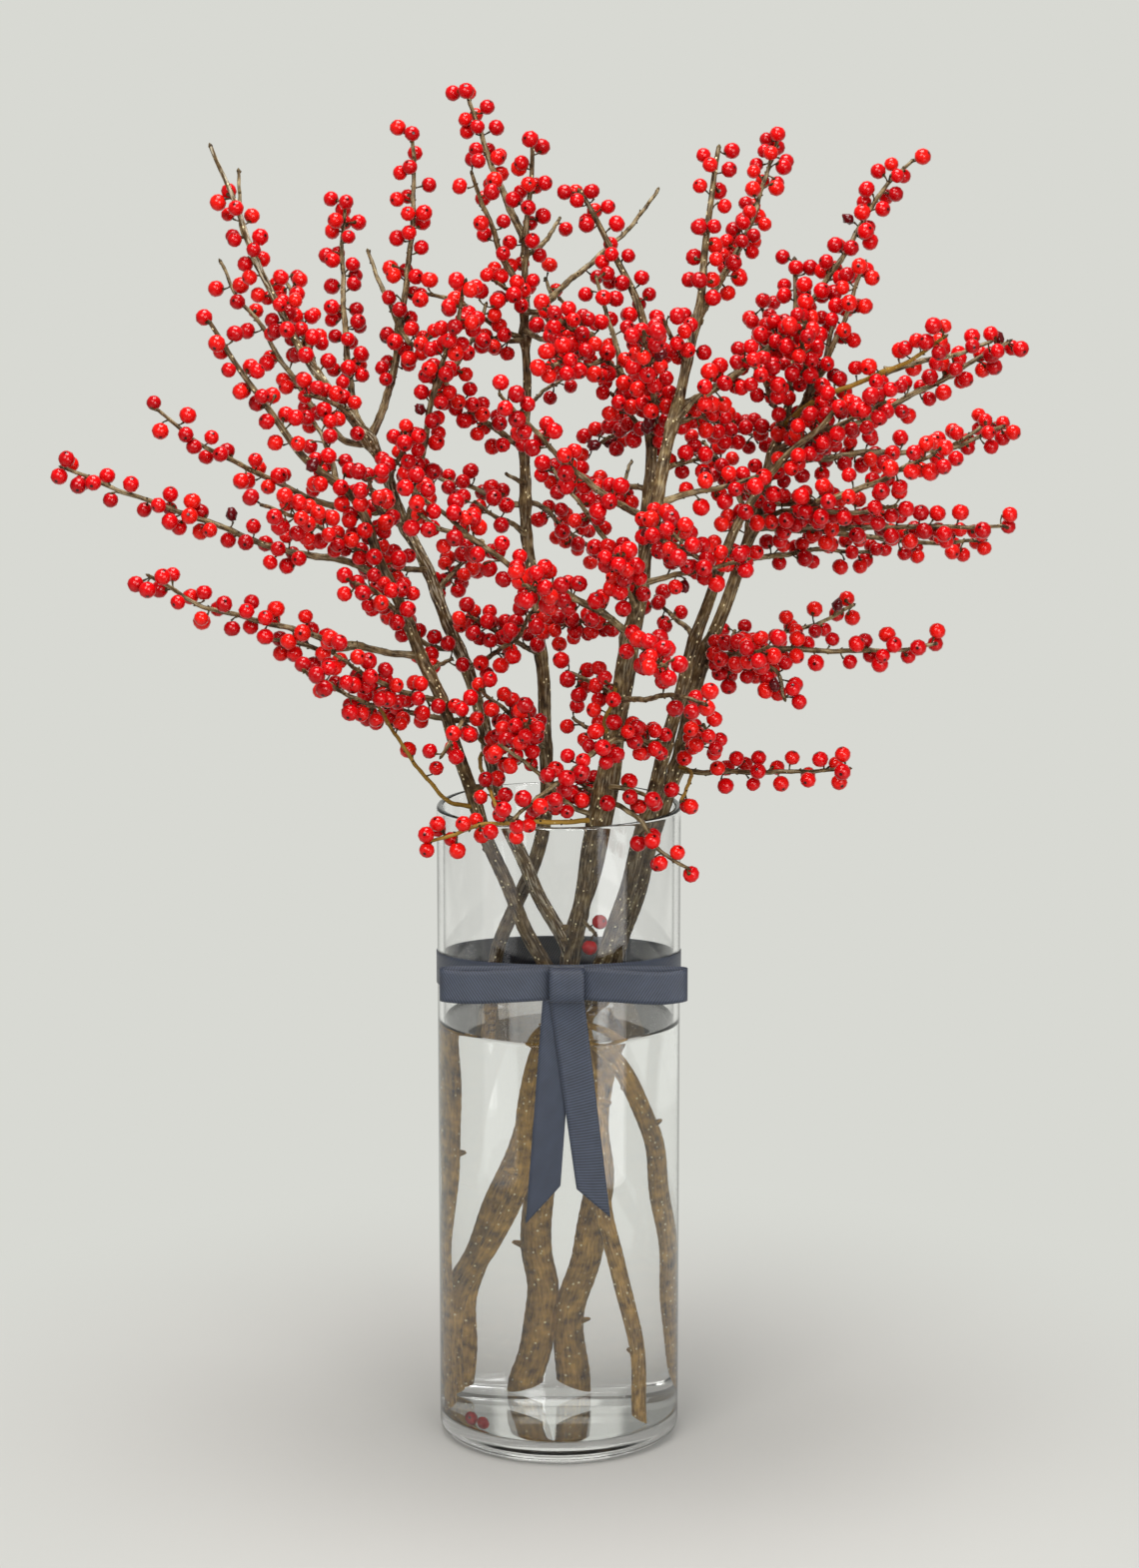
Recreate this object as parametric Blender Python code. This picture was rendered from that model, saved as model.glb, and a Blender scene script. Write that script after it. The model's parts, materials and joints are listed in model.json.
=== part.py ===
"""Winterberry branches standing in a tall glass vase of water, with a ribbon tied round the glass.

Units are metres, +Z is up, and the origin is the centre of the vase's flat underside. The front, where
the bow is, faces -Y. Sizes below are in millimetres and are turned into metres by MM.

Each branch is one grown piece: a cut stem that stands on the vase's floor, its side shoots, and the
berries on them. The stems and shoots are drawn by hand as points in the upright plane through the
vase's axis, as somebody at the EYE point sees them, each with a depth towards or away from that eye.
"""

import math
import random
from collections import namedtuple

import bmesh
import bpy
import numpy as np
from mathutils import Matrix, Vector

MM = 0.001
GAP = 0.3

# Vase: a plain straight cylinder of clear glass.
VASE_RADIUS = 75.0
VASE_HEIGHT = 400.0
VASE_WALL = 3.8
VASE_FLOOR = 14.0
VASE_FOOT_ROUND = 8.0
VASE_RIM_ROUND = 1.4
VASE_INNER_ROUND = 3.0
ROUND_SIDES = 40

WATER_LEVEL = 265.0

# Ribbon: one length, taken once round the glass and tied in a bow at the front.
RIBBON_WIDTH = 20.0
RIBBON_THICKNESS = 0.9
RIBBON_TOP_MIDDLE = 308.5
RIBBON_LEAN = 0.107
KNOT_SIZE = (20.6, 7.0, 21.2)
KNOT_LEFT = -5.4
KNOT_TOP = 316.8
LOOP_REACH_LEFT = -71.0
LOOP_REACH_RIGHT = 77.0
LOOP_DEPTH = 10.0
LOOP_STEPS = 9
LOOP_FULLNESS = 0.35
LOOP_TUCK = 3.0
LOOP_OFF = 0.2
LOOP_LIFT = 0.6
KNOT_CHAMFER = 1.5
TAIL_OFF = 1.1
TAIL_STEP = 1.2
TAIL_LEFT = ((-9.5, 297.0), (-20.0, 156.0), (1.2, 180.0), (9.5, 297.0))
TAIL_RIGHT = ((-5.4, 297.0), (10.8, 178.5), (31.4, 160.5), (15.4, 297.0))

# The place from which the drawn points are seen.
EYE = Vector((6.6, -2358.0, 858.0))

# Wood: radii in millimetres, and the sides of each tube.
STEM_SIDES = 7
SHOOT_SIDES = 3
SHOOT_ROOT = 2.1
SHOOT_TIP = 1.2
STEM_GIRTH = ((0.0, 5.8), (0.5, 5.0), (0.75, 3.7), (1.0, 1.4))
HOLE_EXTRA = 3.0

# Berries: fewer than on the real branch, at their real size.
BERRY_RADIUS = 4.7
BERRY_SINK = 3.7
BERRY_STEP = 54.0
BERRY_APART = 10.2
BARE_SHARE = 0.16
TIP_INSET = 1.0
LOOK_AHEAD = 4.0
TRIES = 6
GOLDEN_TURN = math.radians(137.5)
CLEAR_OF_OTHERS = 0.8
DEEPEST_IN_OWN_WOOD = 2.0

# Shoots that cross are drawn apart in depth by this much more than their two radii.
CROSSING_ROOM = 1.3
CROSSING_REACH = 2.5
CROSSING_ROUNDS = 150
CROSSING_PUSH = 0.6
ROOT_ZONE = 14.0
SAMPLE_STEP = 4.0

# Edges sharper than this stay crisp, and the rest is shaded smooth.
CRISP_EDGE = math.radians(40.0)

Stem = namedtuple("Stem", "name foot path fruit")
Shoot = namedtuple("Shoot", "name parent depth path swing root", defaults=(1.0, SHOOT_ROOT))

# A stem's foot is (x, y) on the vase's floor. Its path is (across, depth, up) as seen from the eye.
STEMS = (
    Stem("far_left", (53, 26), (
        (43, 14, 152), (27, -5, 240), (13, -8, 262), (-10, -6, 301), (-30, -9, 343), (-50, -14, 397),
        (-68, -26, 453), (-83, -38, 490), (-103, -52, 539), (-127, -62, 591), (-157, -70, 616),
        (-178, -75, 649), (-196, -80, 672), (-208, -85, 693)), 0.72),
    Stem("left", (45, -33), (
        (23, -16, 148), (15, 4, 240), (12, 7, 262), (8, 8, 301), (-18, 12, 353), (-32, 14, 388),
        (-47, 18, 456), (-63, 24, 499), (-85, 26, 558), (-95, 24, 579), (-114, 20, 622), (-137, 18, 651),
        (-160, 20, 690), (-182, 22, 734), (-197, 24, 773), (-206, 25, 798)), 0.8),
    Stem("middle", (-58, -4), (
        (-52, 14, 152), (-46, 28, 241), (-38, 32, 306), (-27, 32, 337), (-10, 32, 384), (-7, 38, 427),
        (-9, 44, 471), (-13, 48, 512), (-18, 50, 557), (-20, 50, 606), (-20, 46, 666), (-20, 43, 719),
        (-17, 41, 773), (-16, 40, 802)), 0.88),
    Stem("right", (-41, 28), (
        (-27, 4, 154), (-11, -12, 240), (2, -20, 280), (7, -26, 300), (16, -42, 346), (22, -58, 390),
        (35, -74, 453), (44, -88, 506), (54, -95, 563), (66, -85, 618), (79, -62, 678), (87, -42, 730),
        (91, -25, 764), (96, -10, 797)), 0.84),
    Stem("behind", (-12, 57), (
        (-7, 46, 154), (-3, 36, 241), (0, 32, 267), (6, 27, 302), (25, 22, 375), (35, 24, 434),
        (40, 24, 465), (49, 20, 526), (53, 10, 575), (57, 15, 621), (56, 20, 663), (47, 28, 705),
        (35, 34, 730), (19, 38, 764), (13, 40, 773)), 0.78),
    Stem("near_right", (-29, 48), (
        (-21, 32, 152), (3, 23, 242), (12, 21, 267), (26, 16, 301), (42, -2, 346), (56, -10, 399),
        (71, -24, 459), (87, -34, 512), (99, -40, 548), (109, -44, 576), (127, -52, 601), (145, -60, 620),
        (158, -66, 631), (171, -70, 647)), 0.82),
    Stem("far_right", (5, 57), (
        (11, 44, 152), (17, 38, 241), (35, 34, 303), (50, 22, 347), (60, 12, 386), (65, 9, 404),
        (72, 7, 422), (80, 4, 459), (97, 0, 512), (109, -4, 545), (118, -5, 575), (130, 0, 615),
        (139, 6, 648), (141, 14, 696), (141, 22, 730)), 0.74),
)

# A shoot starts where its parent passes nearest to its first point, and ends at its own depth.
SHOOTS = (
    Shoot("reach_left", "far_left", -60, (
        (-96, 541), (-130, 550), (-169, 557), (-202, 570), (-229, 580), (-265, 593), (-299, 607)), 1.0, 2.6),
    Shoot("low_left", "far_left", -95, (
        (-84, 492), (-109, 495), (-140, 502), (-161, 508), (-188, 515), (-215, 522), (-248, 541)), 1.0, 2.5),
    Shoot("low_left_fork", "low_left", -60, ((-122, 497), (-143, 495), (-158, 500), (-177, 502))),
    Shoot("mid_left", "far_left", -125, ((-74, 462), (-90, 468), (-110, 476), (-137, 493))),
    Shoot("under_left", "left", -150, ((-53, 452), (-72, 453), (-97, 459), (-119, 463), (-155, 483))),
    Shoot("droop_left", "far_left", -70, (
        (-51, 396), (-66, 401), (-81, 416), (-96, 437), (-105, 452), (-111, 462)), 1.0, 1.6),
    Shoot("knuckle_left", "far_left", -100, ((-93, 510), (-104, 525), (-113, 532), (-124, 537))),
    Shoot("inner_left", "far_left", -20, ((-133, 601), (-138, 615), (-142, 625), (-151, 639))),
    Shoot("arm_left", "left", -50, (
        (-96, 579), (-124, 581), (-157, 591), (-172, 599), (-193, 609), (-223, 626), (-240, 641)), 1.0, 2.6),
    Shoot("fore_left", "left", -150, ((-82, 544), (-103, 547), (-124, 558), (-145, 571), (-179, 584))),
    Shoot("long_left", "left", 60, (
        (-112, 621), (-129, 623), (-141, 636), (-165, 669), (-179, 693), (-193, 711), (-202, 730)),
        1.0, 2.5),
    Shoot("twin_left", "left", 60, ((-183, 730), (-189, 752), (-190, 784)), 1.0, 1.8),
    Shoot("hid_left", "left", 100, ((-145, 667), (-153, 690), (-158, 708), (-164, 720))),
    Shoot("rod_left", "left", 110, (
        (-117, 625), (-123, 642), (-126, 666), (-129, 720), (-129, 743), (-127, 767)), 1.0, 3.0),
    Shoot("spire_left", "left", 30, (
        (-113, 624), (-106, 641), (-101, 657), (-94, 699), (-90, 725), (-86, 779), (-87, 808)), 1.0, 3.0),
    Shoot("spire_fork", "spire_left", 60, ((-95, 693), (-103, 709), (-114, 736))),
    Shoot("spire_side", "spire_left", -20, ((-94, 690), (-88, 681), (-77, 685))),
    Shoot("fork_left", "left", -70, (
        (-90, 570), (-86, 594), (-81, 621), (-76, 648), (-70, 669), (-62, 688), (-56, 718)), 1.0, 3.0),
    Shoot("fork_left_side", "fork_left", 20, ((-73, 657), (-62, 669), (-53, 681), (-43, 705))),
    Shoot("nub_left", "left", 10, ((-72, 508), (-65, 513), (-57, 516))),
    Shoot("rise_mid", "left", -60, ((-56, 483), (-45, 490), (-35, 496), (-23, 506), (-17, 519))),
    Shoot("hook_left", "left", 10, ((-68, 493), (-78, 498), (-89, 506), (-98, 519))),
    Shoot("gold_left", "left", -80, ((-42, 436), (-48, 429), (-44, 413), (-38, 398)), 1.0, 1.5),
    Shoot("tuft_left", "left", -110, ((-35, 430), (-30, 437), (-24, 445), (-17, 452))),
    Shoot("cross_left", "left", 110, ((-74, 531), (-66, 541), (-59, 548), (-49, 555))),
    Shoot("link_left", "far_left", 10, ((-78, 483), (-72, 487), (-65, 490))),
    Shoot("crown_mid", "middle", 90, (
        (-20, 743), (-26, 756), (-34, 773), (-41, 791), (-45, 802), (-55, 833)), 1.0, 2.8),
    Shoot("crown_left", "middle", 0, ((-22, 708), (-28, 723), (-35, 737), (-41, 754), (-52, 782)), 1.0, 2.6),
    Shoot("crown_hook", "middle", 110, ((-17, 733), (-8, 742), (-3, 750), (1, 756))),
    Shoot("quill_left", "middle", 0, ((-25, 685), (-35, 690), (-44, 696), (-59, 706), (-82, 712))),
    Shoot("stub_high", "middle", 10, ((-23, 704), (-31, 714), (-37, 718))),
    Shoot("stub_mid", "middle", 20, ((-25, 683), (-32, 683), (-40, 685))),
    Shoot("stub_right", "middle", 10, ((-19, 700), (-11, 700), (-4, 689))),
    Shoot("sweep_right", "middle", 150, (
        (-19, 687), (-8, 705), (13, 724), (28, 737), (40, 748), (52, 762), (59, 773)), 1.0, 2.6),
    Shoot("sweep_nub", "sweep_right", 90, ((-4, 709), (-6, 715), (-8, 720)), 1.0, 1.5),
    Shoot("bare_right", "middle", 120, ((-19, 644), (-10, 652), (2, 660)), 1.0, 1.6),
    Shoot("arm_mid", "middle", -20, ((-23, 619), (-35, 628), (-46, 636), (-64, 653), (-71, 663)), 1.0, 2.6),
    Shoot("arm_mid_low", "middle", 80, ((-25, 584), (-35, 586), (-55, 596), (-68, 599), (-80, 603))),
    Shoot("spur_mid", "middle", 30, ((-20, 596), (-26, 600), (-31, 603))),
    Shoot("back_right", "middle", 150, ((-17, 586), (-8, 582), (1, 572), (10, 565), (20, 558))),
    Shoot("hang_mid", "middle", -30, ((-13, 493), (-29, 502), (-42, 509), (-53, 516))),
    Shoot("low_mid", "middle", -50, ((-8, 434), (-17, 445), (-30, 456), (-48, 471))),
    Shoot("long_mid", "right", -170, (
        (55, 574), (34, 586), (22, 595), (8, 606), (-5, 619), (-17, 632), (-35, 650)), 1.0, 2.6),
    Shoot("span_mid", "right", -150, (
        (44, 503), (25, 519), (7, 529), (-29, 547), (-47, 560), (-65, 575), (-92, 596)), 1.0, 2.6),
    Shoot("slant_mid", "right", -40, ((47, 525), (31, 560), (19, 576), (7, 593), (-4, 606))),
    Shoot("loop_mid", "right", 10, ((44, 502), (32, 515), (16, 514), (1, 510), (-7, 504))),
    Shoot("near_mid", "span_mid", -190, ((1, 531), (-8, 532), (-21, 535))),
    Shoot("twig_low", "right", -40, ((38, 465), (25, 473), (14, 479), (5, 482))),
    Shoot("gold_low", "right", -100, ((35, 442), (29, 446), (32, 462), (35, 474)), 1.0, 1.6),
    Shoot("tuft_low", "right", -10, ((35, 442), (25, 445), (17, 448), (9, 453))),
    Shoot("tuft_rim", "right", 0, ((26, 407), (19, 409), (11, 414))),
    Shoot("rim_left", "right", -84, (
        (21, 390), (5, 389), (-24, 388), (-48, 387), (-63, 381), (-79, 377)), 0.35, 1.8),
    Shoot("rim_long", "right", -100, (
        (22, 392), (10, 397), (-1, 407), (-11, 417), (-24, 429), (-36, 436)), 1.0, 1.8),
    Shoot("rim_right", "right", -92, ((28, 402), (41, 397), (51, 389), (59, 374), (79, 360)), 0.6, 2.0),
    Shoot("in_vase", "right", -54, ((13, 330), (17, 325), (22, 318)), 1.0, 1.4),
    Shoot("side_short", "right", -60, ((67, 606), (76, 610), (85, 613))),
    Shoot("side_mid", "right", -100, ((59, 585), (79, 591), (94, 594), (119, 601)), 1.0, 2.6),
    Shoot("side_low", "right", -120, ((52, 537), (74, 542), (89, 545), (115, 551))),
    Shoot("fist_low", "right", -190, ((40, 465), (59, 466), (69, 468), (80, 465), (90, 462))),
    Shoot("fist_near", "right", -230, ((45, 502), (53, 496), (59, 490), (65, 485))),
    Shoot("fist_high", "right", -190, ((55, 569), (58, 574), (65, 570), (74, 562))),
    Shoot("back_up", "right", 40, ((68, 631), (85, 638), (100, 632), (118, 626))),
    Shoot("side_arch", "right", 60, (
        (73, 642), (85, 649), (103, 661), (136, 689), (156, 713), (178, 747), (189, 767), (210, 790)),
        1.0, 3.2),
    Shoot("side_rise", "right", 120, (
        (83, 696), (98, 721), (105, 733), (111, 744), (116, 756), (121, 773), (130, 801)), 1.0, 2.8),
    Shoot("side_tip", "right", -90, ((78, 672), (70, 681), (64, 694))),
    Shoot("cross_high", "behind", -60, (
        (58, 639), (46, 654), (32, 668), (25, 678), (8, 700), (1, 708)), 1.0, 2.8),
    Shoot("cross_nub", "cross_high", 20, ((38, 663), (35, 681), (29, 697), (23, 721))),
    Shoot("cross_side", "cross_high", -80, ((19, 685), (4, 693), (-8, 702))),
    Shoot("near_high", "behind", -150, ((58, 629), (58, 648), (55, 666), (51, 688)), 1.0, 2.8),
    Shoot("dark_mid", "behind", 90, ((57, 636), (40, 629), (29, 624), (20, 619))),
    Shoot("thin_mid", "behind", 100, ((55, 594), (46, 595), (25, 594), (10, 600), (-1, 603))),
    Shoot("bare_mid", "thin_mid", 90, ((37, 594), (41, 603), (44, 610)), 1.0, 1.5),
    Shoot("tuft_high", "behind", -40, ((58, 624), (49, 632), (40, 642), (32, 651))),
    Shoot("droop_mid", "near_right", -170, (
        (66, 436), (50, 439), (34, 440), (19, 430), (1, 414), (-14, 403), (-29, 390)), 0.5, 2.4),
    Shoot("tuft_front", "right", -90, ((31, 410), (44, 409), (53, 405), (58, 400))),
    Shoot("back_twig", "near_right", 60, ((84, 502), (77, 510), (66, 519), (59, 528))),
    Shoot("near_twig", "near_right", -130, ((99, 547), (86, 551), (74, 558), (63, 563))),
    Shoot("fork_low", "far_right", -70, ((87, 487), (107, 483), (119, 487), (132, 483), (138, 465))),
    Shoot("fork_low_near", "far_right", -110, ((89, 491), (104, 493), (117, 493), (127, 497))),
    Shoot("ray_low", "far_right", -30, (
        (90, 497), (116, 497), (141, 496), (165, 495), (189, 495), (211, 496), (228, 499)), 1.0, 2.4),
    Shoot("ray_low_up", "far_right", 70, ((90, 497), (113, 499), (135, 506), (153, 510), (179, 523))),
    Shoot("stalk_low", "far_right", 20, ((93, 499), (101, 500), (107, 507)), 1.0, 1.4),
    Shoot("ray_rim", "far_right", -60, ((71, 422), (86, 420), (111, 420), (141, 420), (178, 422))),
    Shoot("gold_right", "far_right", -60, ((71, 423), (81, 419), (78, 409), (75, 402)), 1.0, 1.5),
    Shoot("tuft_right", "far_right", -70, ((75, 437), (84, 434), (90, 440), (89, 449))),
    Shoot("ray_mid_low", "far_right", 60, ((111, 551), (137, 554), (158, 557), (176, 556), (191, 555))),
    Shoot("ray_mid_back", "far_right", 110, (
        (117, 570), (146, 569), (170, 567), (194, 564), (228, 561), (258, 563)), 1.0, 2.4),
    Shoot("ray_mid", "far_right", -50, (
        (117, 573), (140, 571), (170, 570), (206, 571), (237, 571), (269, 571)), 1.0, 2.4),
    Shoot("ray_gold", "far_right", -100, ((119, 576), (143, 581), (170, 580), (188, 580), (203, 584))),
    Shoot("fist_right", "far_right", -150, (
        (121, 585), (146, 586), (167, 589), (188, 596), (209, 607), (226, 615)), 1.0, 3.0),
    Shoot("ray_high", "far_right", 50, (
        (126, 601), (139, 609), (164, 613), (188, 616), (209, 616), (233, 618), (251, 624), (267, 632)),
        1.0, 2.8),
    Shoot("ray_high_fork", "ray_high", 70, ((236, 618), (251, 629), (260, 636)), 1.0, 1.6),
    Shoot("ray_top", "far_right", -20, (
        (129, 612), (145, 619), (166, 628), (187, 636), (208, 648), (229, 659), (270, 683)), 1.0, 2.8),
    Shoot("ray_top_near", "far_right", -80, ((135, 631), (151, 645), (190, 662), (214, 673), (232, 686))),
    Shoot("ray_top_fork", "ray_top_near", -40, ((196, 665), (220, 671), (238, 675), (259, 682))),
    Shoot("rise_right", "far_right", -40, (
        (136, 632), (145, 641), (154, 657), (169, 690), (175, 706), (183, 730)), 1.0, 2.6),
    Shoot("rise_fork", "rise_right", 0, ((158, 669), (164, 690), (167, 708))),
    Shoot("rise_back", "far_right", 110, ((139, 666), (130, 684), (124, 696), (121, 706))),
    Shoot("lean_back", "far_right", 80, ((117, 573), (109, 588), (100, 606), (88, 622))),
    Shoot("tuft_fork", "far_right", -90, ((136, 632), (127, 651), (120, 665), (111, 672))),
)

# A berry that fell into the water lies on the vase's floor.
FALLEN_BERRY = (-50.0, -36.0)

COLOURS = {
    "glass": ((0.86, 0.9, 0.89), 0.03),
    "water": ((0.93, 0.96, 0.95), 0.02),
    "ribbon": ((0.045, 0.055, 0.085), 0.55),
    "branch": ((0.62, 0.02, 0.02), 0.35),
}

Line = namedtuple("Line", "name stem parent points radii fixed")


def material(name):
    """A plain material of the named colour and roughness."""
    colour, roughness = COLOURS[name]
    made = bpy.data.materials.new(name)
    made.use_nodes = True
    shader = made.node_tree.nodes["Principled BSDF"]
    shader.inputs["Base Color"].default_value = (*colour, 1.0)
    shader.inputs["Roughness"].default_value = roughness
    if name in ("glass", "water"):
        shader.inputs["Transmission Weight"].default_value = 1.0
    return made


def object_of(name, mesh_builder, finish):
    """A named object at the origin from a bmesh in millimetres, with its material."""
    mesh = bpy.data.meshes.new(name)
    bmesh.ops.recalc_face_normals(mesh_builder, faces=mesh_builder.faces)
    bmesh.ops.transform(mesh_builder, matrix=Matrix.Scale(MM, 4), verts=mesh_builder.verts)
    for face in mesh_builder.faces:
        face.smooth = True
    mesh_builder.to_mesh(mesh)
    mesh_builder.free()
    mesh.set_sharp_from_angle(angle=CRISP_EDGE)
    made = bpy.data.objects.new(name, mesh)
    bpy.context.scene.collection.objects.link(made)
    if finish:
        made.data.materials.append(finish)
    return made


def turned(profile, sides, lift=None):
    """A body turned round the Z axis from (radius, height) points, closed on the axis or on itself."""
    builder = bmesh.new()
    rings = []
    for radius, height in profile:
        if radius == 0.0:
            rings.append([builder.verts.new((0.0, 0.0, height))] * sides)
            continue
        ring = []
        for side in range(sides):
            angle = 2.0 * math.pi * side / sides
            x, y = radius * math.cos(angle), radius * math.sin(angle)
            ring.append(builder.verts.new((x, y, height + (lift(x, y) if lift else 0.0))))
        rings.append(ring)
    closed = profile[0][0] > 0.0
    pairs = list(zip(rings, rings[1:] + rings[:1] if closed else rings[1:]))
    for low, high in pairs:
        for side in range(sides):
            after = (side + 1) % sides
            corners = [low[side], low[after], high[after], high[side]]
            builder.faces.new(list(dict.fromkeys(corners)))
    return builder


def tube(points, radii, sides):
    """A closed tube along the points, its rings carried from one to the next without twisting."""
    builder = bmesh.new()
    points = [Vector(point) for point in points]
    tangents = []
    for index in range(len(points)):
        before = points[max(index - 1, 0)]
        after = points[min(index + 1, len(points) - 1)]
        tangents.append((after - before).normalized())
    side_way = tangents[0].orthogonal().normalized()
    rings = []
    for point, tangent, radius in zip(points, tangents, radii):
        side_way = (side_way - tangent * side_way.dot(tangent)).normalized()
        other_way = tangent.cross(side_way)
        ring = []
        for side in range(sides):
            angle = 2.0 * math.pi * side / sides
            offset = side_way * math.cos(angle) + other_way * math.sin(angle)
            ring.append(builder.verts.new(point + offset * radius))
        rings.append(ring)
    for low, high in zip(rings, rings[1:]):
        for side in range(sides):
            after = (side + 1) % sides
            builder.faces.new((low[side], low[after], high[after], high[side]))
    builder.faces.new(reversed(rings[0]))
    builder.faces.new(rings[-1])
    return builder


def prism(outline, low, high, hole=None):
    """An outline of (x, y) points carried from one height to another, with an inner outline cut out."""
    builder = bmesh.new()
    outlines = [outline] if hole is None else [outline, hole]
    loops = []
    for points in outlines:
        bottom = [builder.verts.new((x, y, low)) for x, y in points]
        top = [builder.verts.new((x, y, high)) for x, y in points]
        loops.append((bottom, top))
        count = len(points)
        for index in range(count):
            after = (index + 1) % count
            builder.faces.new((bottom[index], bottom[after], top[after], top[index]))
    if hole is None:
        builder.faces.new(loops[0][0])
        builder.faces.new(loops[0][1])
        return builder
    count = len(outline)
    for level in (0, 1):
        outer, inner = loops[0][level], loops[1][level]
        for index in range(count):
            after = (index + 1) % count
            builder.faces.new((outer[index], outer[after], inner[after], inner[index]))
    return builder


def ball(centre, radius, seed):
    """A berry as a small closed ball with 20 faces, turned at random."""
    builder = bmesh.new()
    draw = random.Random(seed)
    turn = Matrix.Rotation(draw.uniform(0.0, math.pi), 4, Vector((draw.random(), draw.random(), 1.0)))
    place = Matrix.Translation(Vector(centre)) @ turn
    bmesh.ops.create_icosphere(builder, subdivisions=1, radius=radius, matrix=place)
    return builder


def joined(name, body, others, finish):
    """The body with every other object joined to it in one union, and the others removed."""
    group = bpy.data.collections.new(name + "_pieces")
    bpy.context.scene.collection.children.link(group)
    for other in others:
        bpy.context.scene.collection.objects.unlink(other)
        group.objects.link(other)
    union = body.modifiers.new("union", "BOOLEAN")
    union.operation = "UNION"
    union.solver = "EXACT"
    union.operand_type = "COLLECTION"
    union.collection = group
    bpy.context.view_layer.update()
    whole = body.evaluated_get(bpy.context.evaluated_depsgraph_get())
    mesh = bpy.data.meshes.new_from_object(whole)
    body.modifiers.clear()
    body.data = mesh
    mesh.name = name
    mesh.materials.clear()
    mesh.materials.append(finish)
    for other in others:
        bpy.data.objects.remove(other)
    bpy.data.collections.remove(group)
    return body


def real_place(points):
    """Drawn points (across, depth, up) slid along the line of sight to their real places."""
    points = np.asarray(points, float)
    share = (1.0 + points[:, 1] / -EYE.y)[:, None]
    flat = points * (1.0, 0.0, 1.0)
    eye = np.array(EYE)
    return eye + (flat - eye) * share


def drawn_place(point):
    """The drawn (across, depth, up) of a real point."""
    share = 1.0 + point[1] / -EYE.y
    return ((point[0] - EYE.x) / share + EYE.x, point[1], (point[2] - EYE.z) / share + EYE.z)


def along(points):
    """Each point's distance from the first, measured along the line."""
    steps = np.linalg.norm(np.diff(points, axis=0), axis=1)
    return np.concatenate([[0.0], np.cumsum(steps)])


def nearest_on(points, target):
    """The place on a drawn line that is nearest to an (across, up) point."""
    best = None
    for index in range(len(points) - 1):
        a, b = points[index], points[index + 1]
        run = (b - a)[[0, 2]]
        share = float(np.clip(np.dot(np.array(target) - a[[0, 2]], run) / np.dot(run, run), 0.0, 1.0))
        place = a + (b - a) * share
        miss = np.hypot(place[0] - target[0], place[2] - target[1])
        if best is None or miss < best[0]:
            best = (miss, place)
    return best[1]


def stem_line(stem):
    """The drawn line of a stem, from its foot on the vase's floor to its tip."""
    rise = np.array(stem.path[0], float) - (*stem.foot, VASE_FLOOR)
    lean = np.hypot(rise[0], rise[1]) / np.linalg.norm(rise)
    foot = drawn_place((*stem.foot, VASE_FLOOR + GAP + STEM_GIRTH[0][1] * lean))
    points = np.array([foot, *stem.path], float)
    far = along(real_place(points))
    marks, girths = zip(*STEM_GIRTH)
    radii = np.interp(far / far[-1], marks, girths)
    return Line(stem.name, stem.name, None, points, radii, np.ones(len(points), bool))


def shoot_line(shoot, lines):
    """The drawn line of a shoot, rooted on its parent's axis."""
    parent = lines[shoot.parent]
    root = nearest_on(parent.points, shoot.path[0])
    flat = np.array([(root[0], root[2]), *shoot.path[1:]], float)
    share = along(flat) / along(flat)[-1]
    depths = root[1] + (shoot.depth - root[1]) * share**shoot.swing
    points = np.column_stack([flat[:, 0], depths, flat[:, 1]])
    radii = shoot.root + (SHOOT_TIP - shoot.root) * share
    fixed = np.zeros(len(points), bool)
    fixed[0] = True
    return Line(shoot.name, parent.stem, shoot.parent, points, radii, fixed)


def samples_of(line):
    """Places every few millimetres along a drawn line: (index of the point before, share to the next)."""
    far = along(line.points)
    count = max(int(far[-1] / SAMPLE_STEP), 2)
    places = np.linspace(0.0, far[-1], count)
    before = np.clip(np.searchsorted(far, places, "right") - 1, 0, len(far) - 2)
    share = (places - far[before]) / (far[before + 1] - far[before])
    return before, share, places


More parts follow.
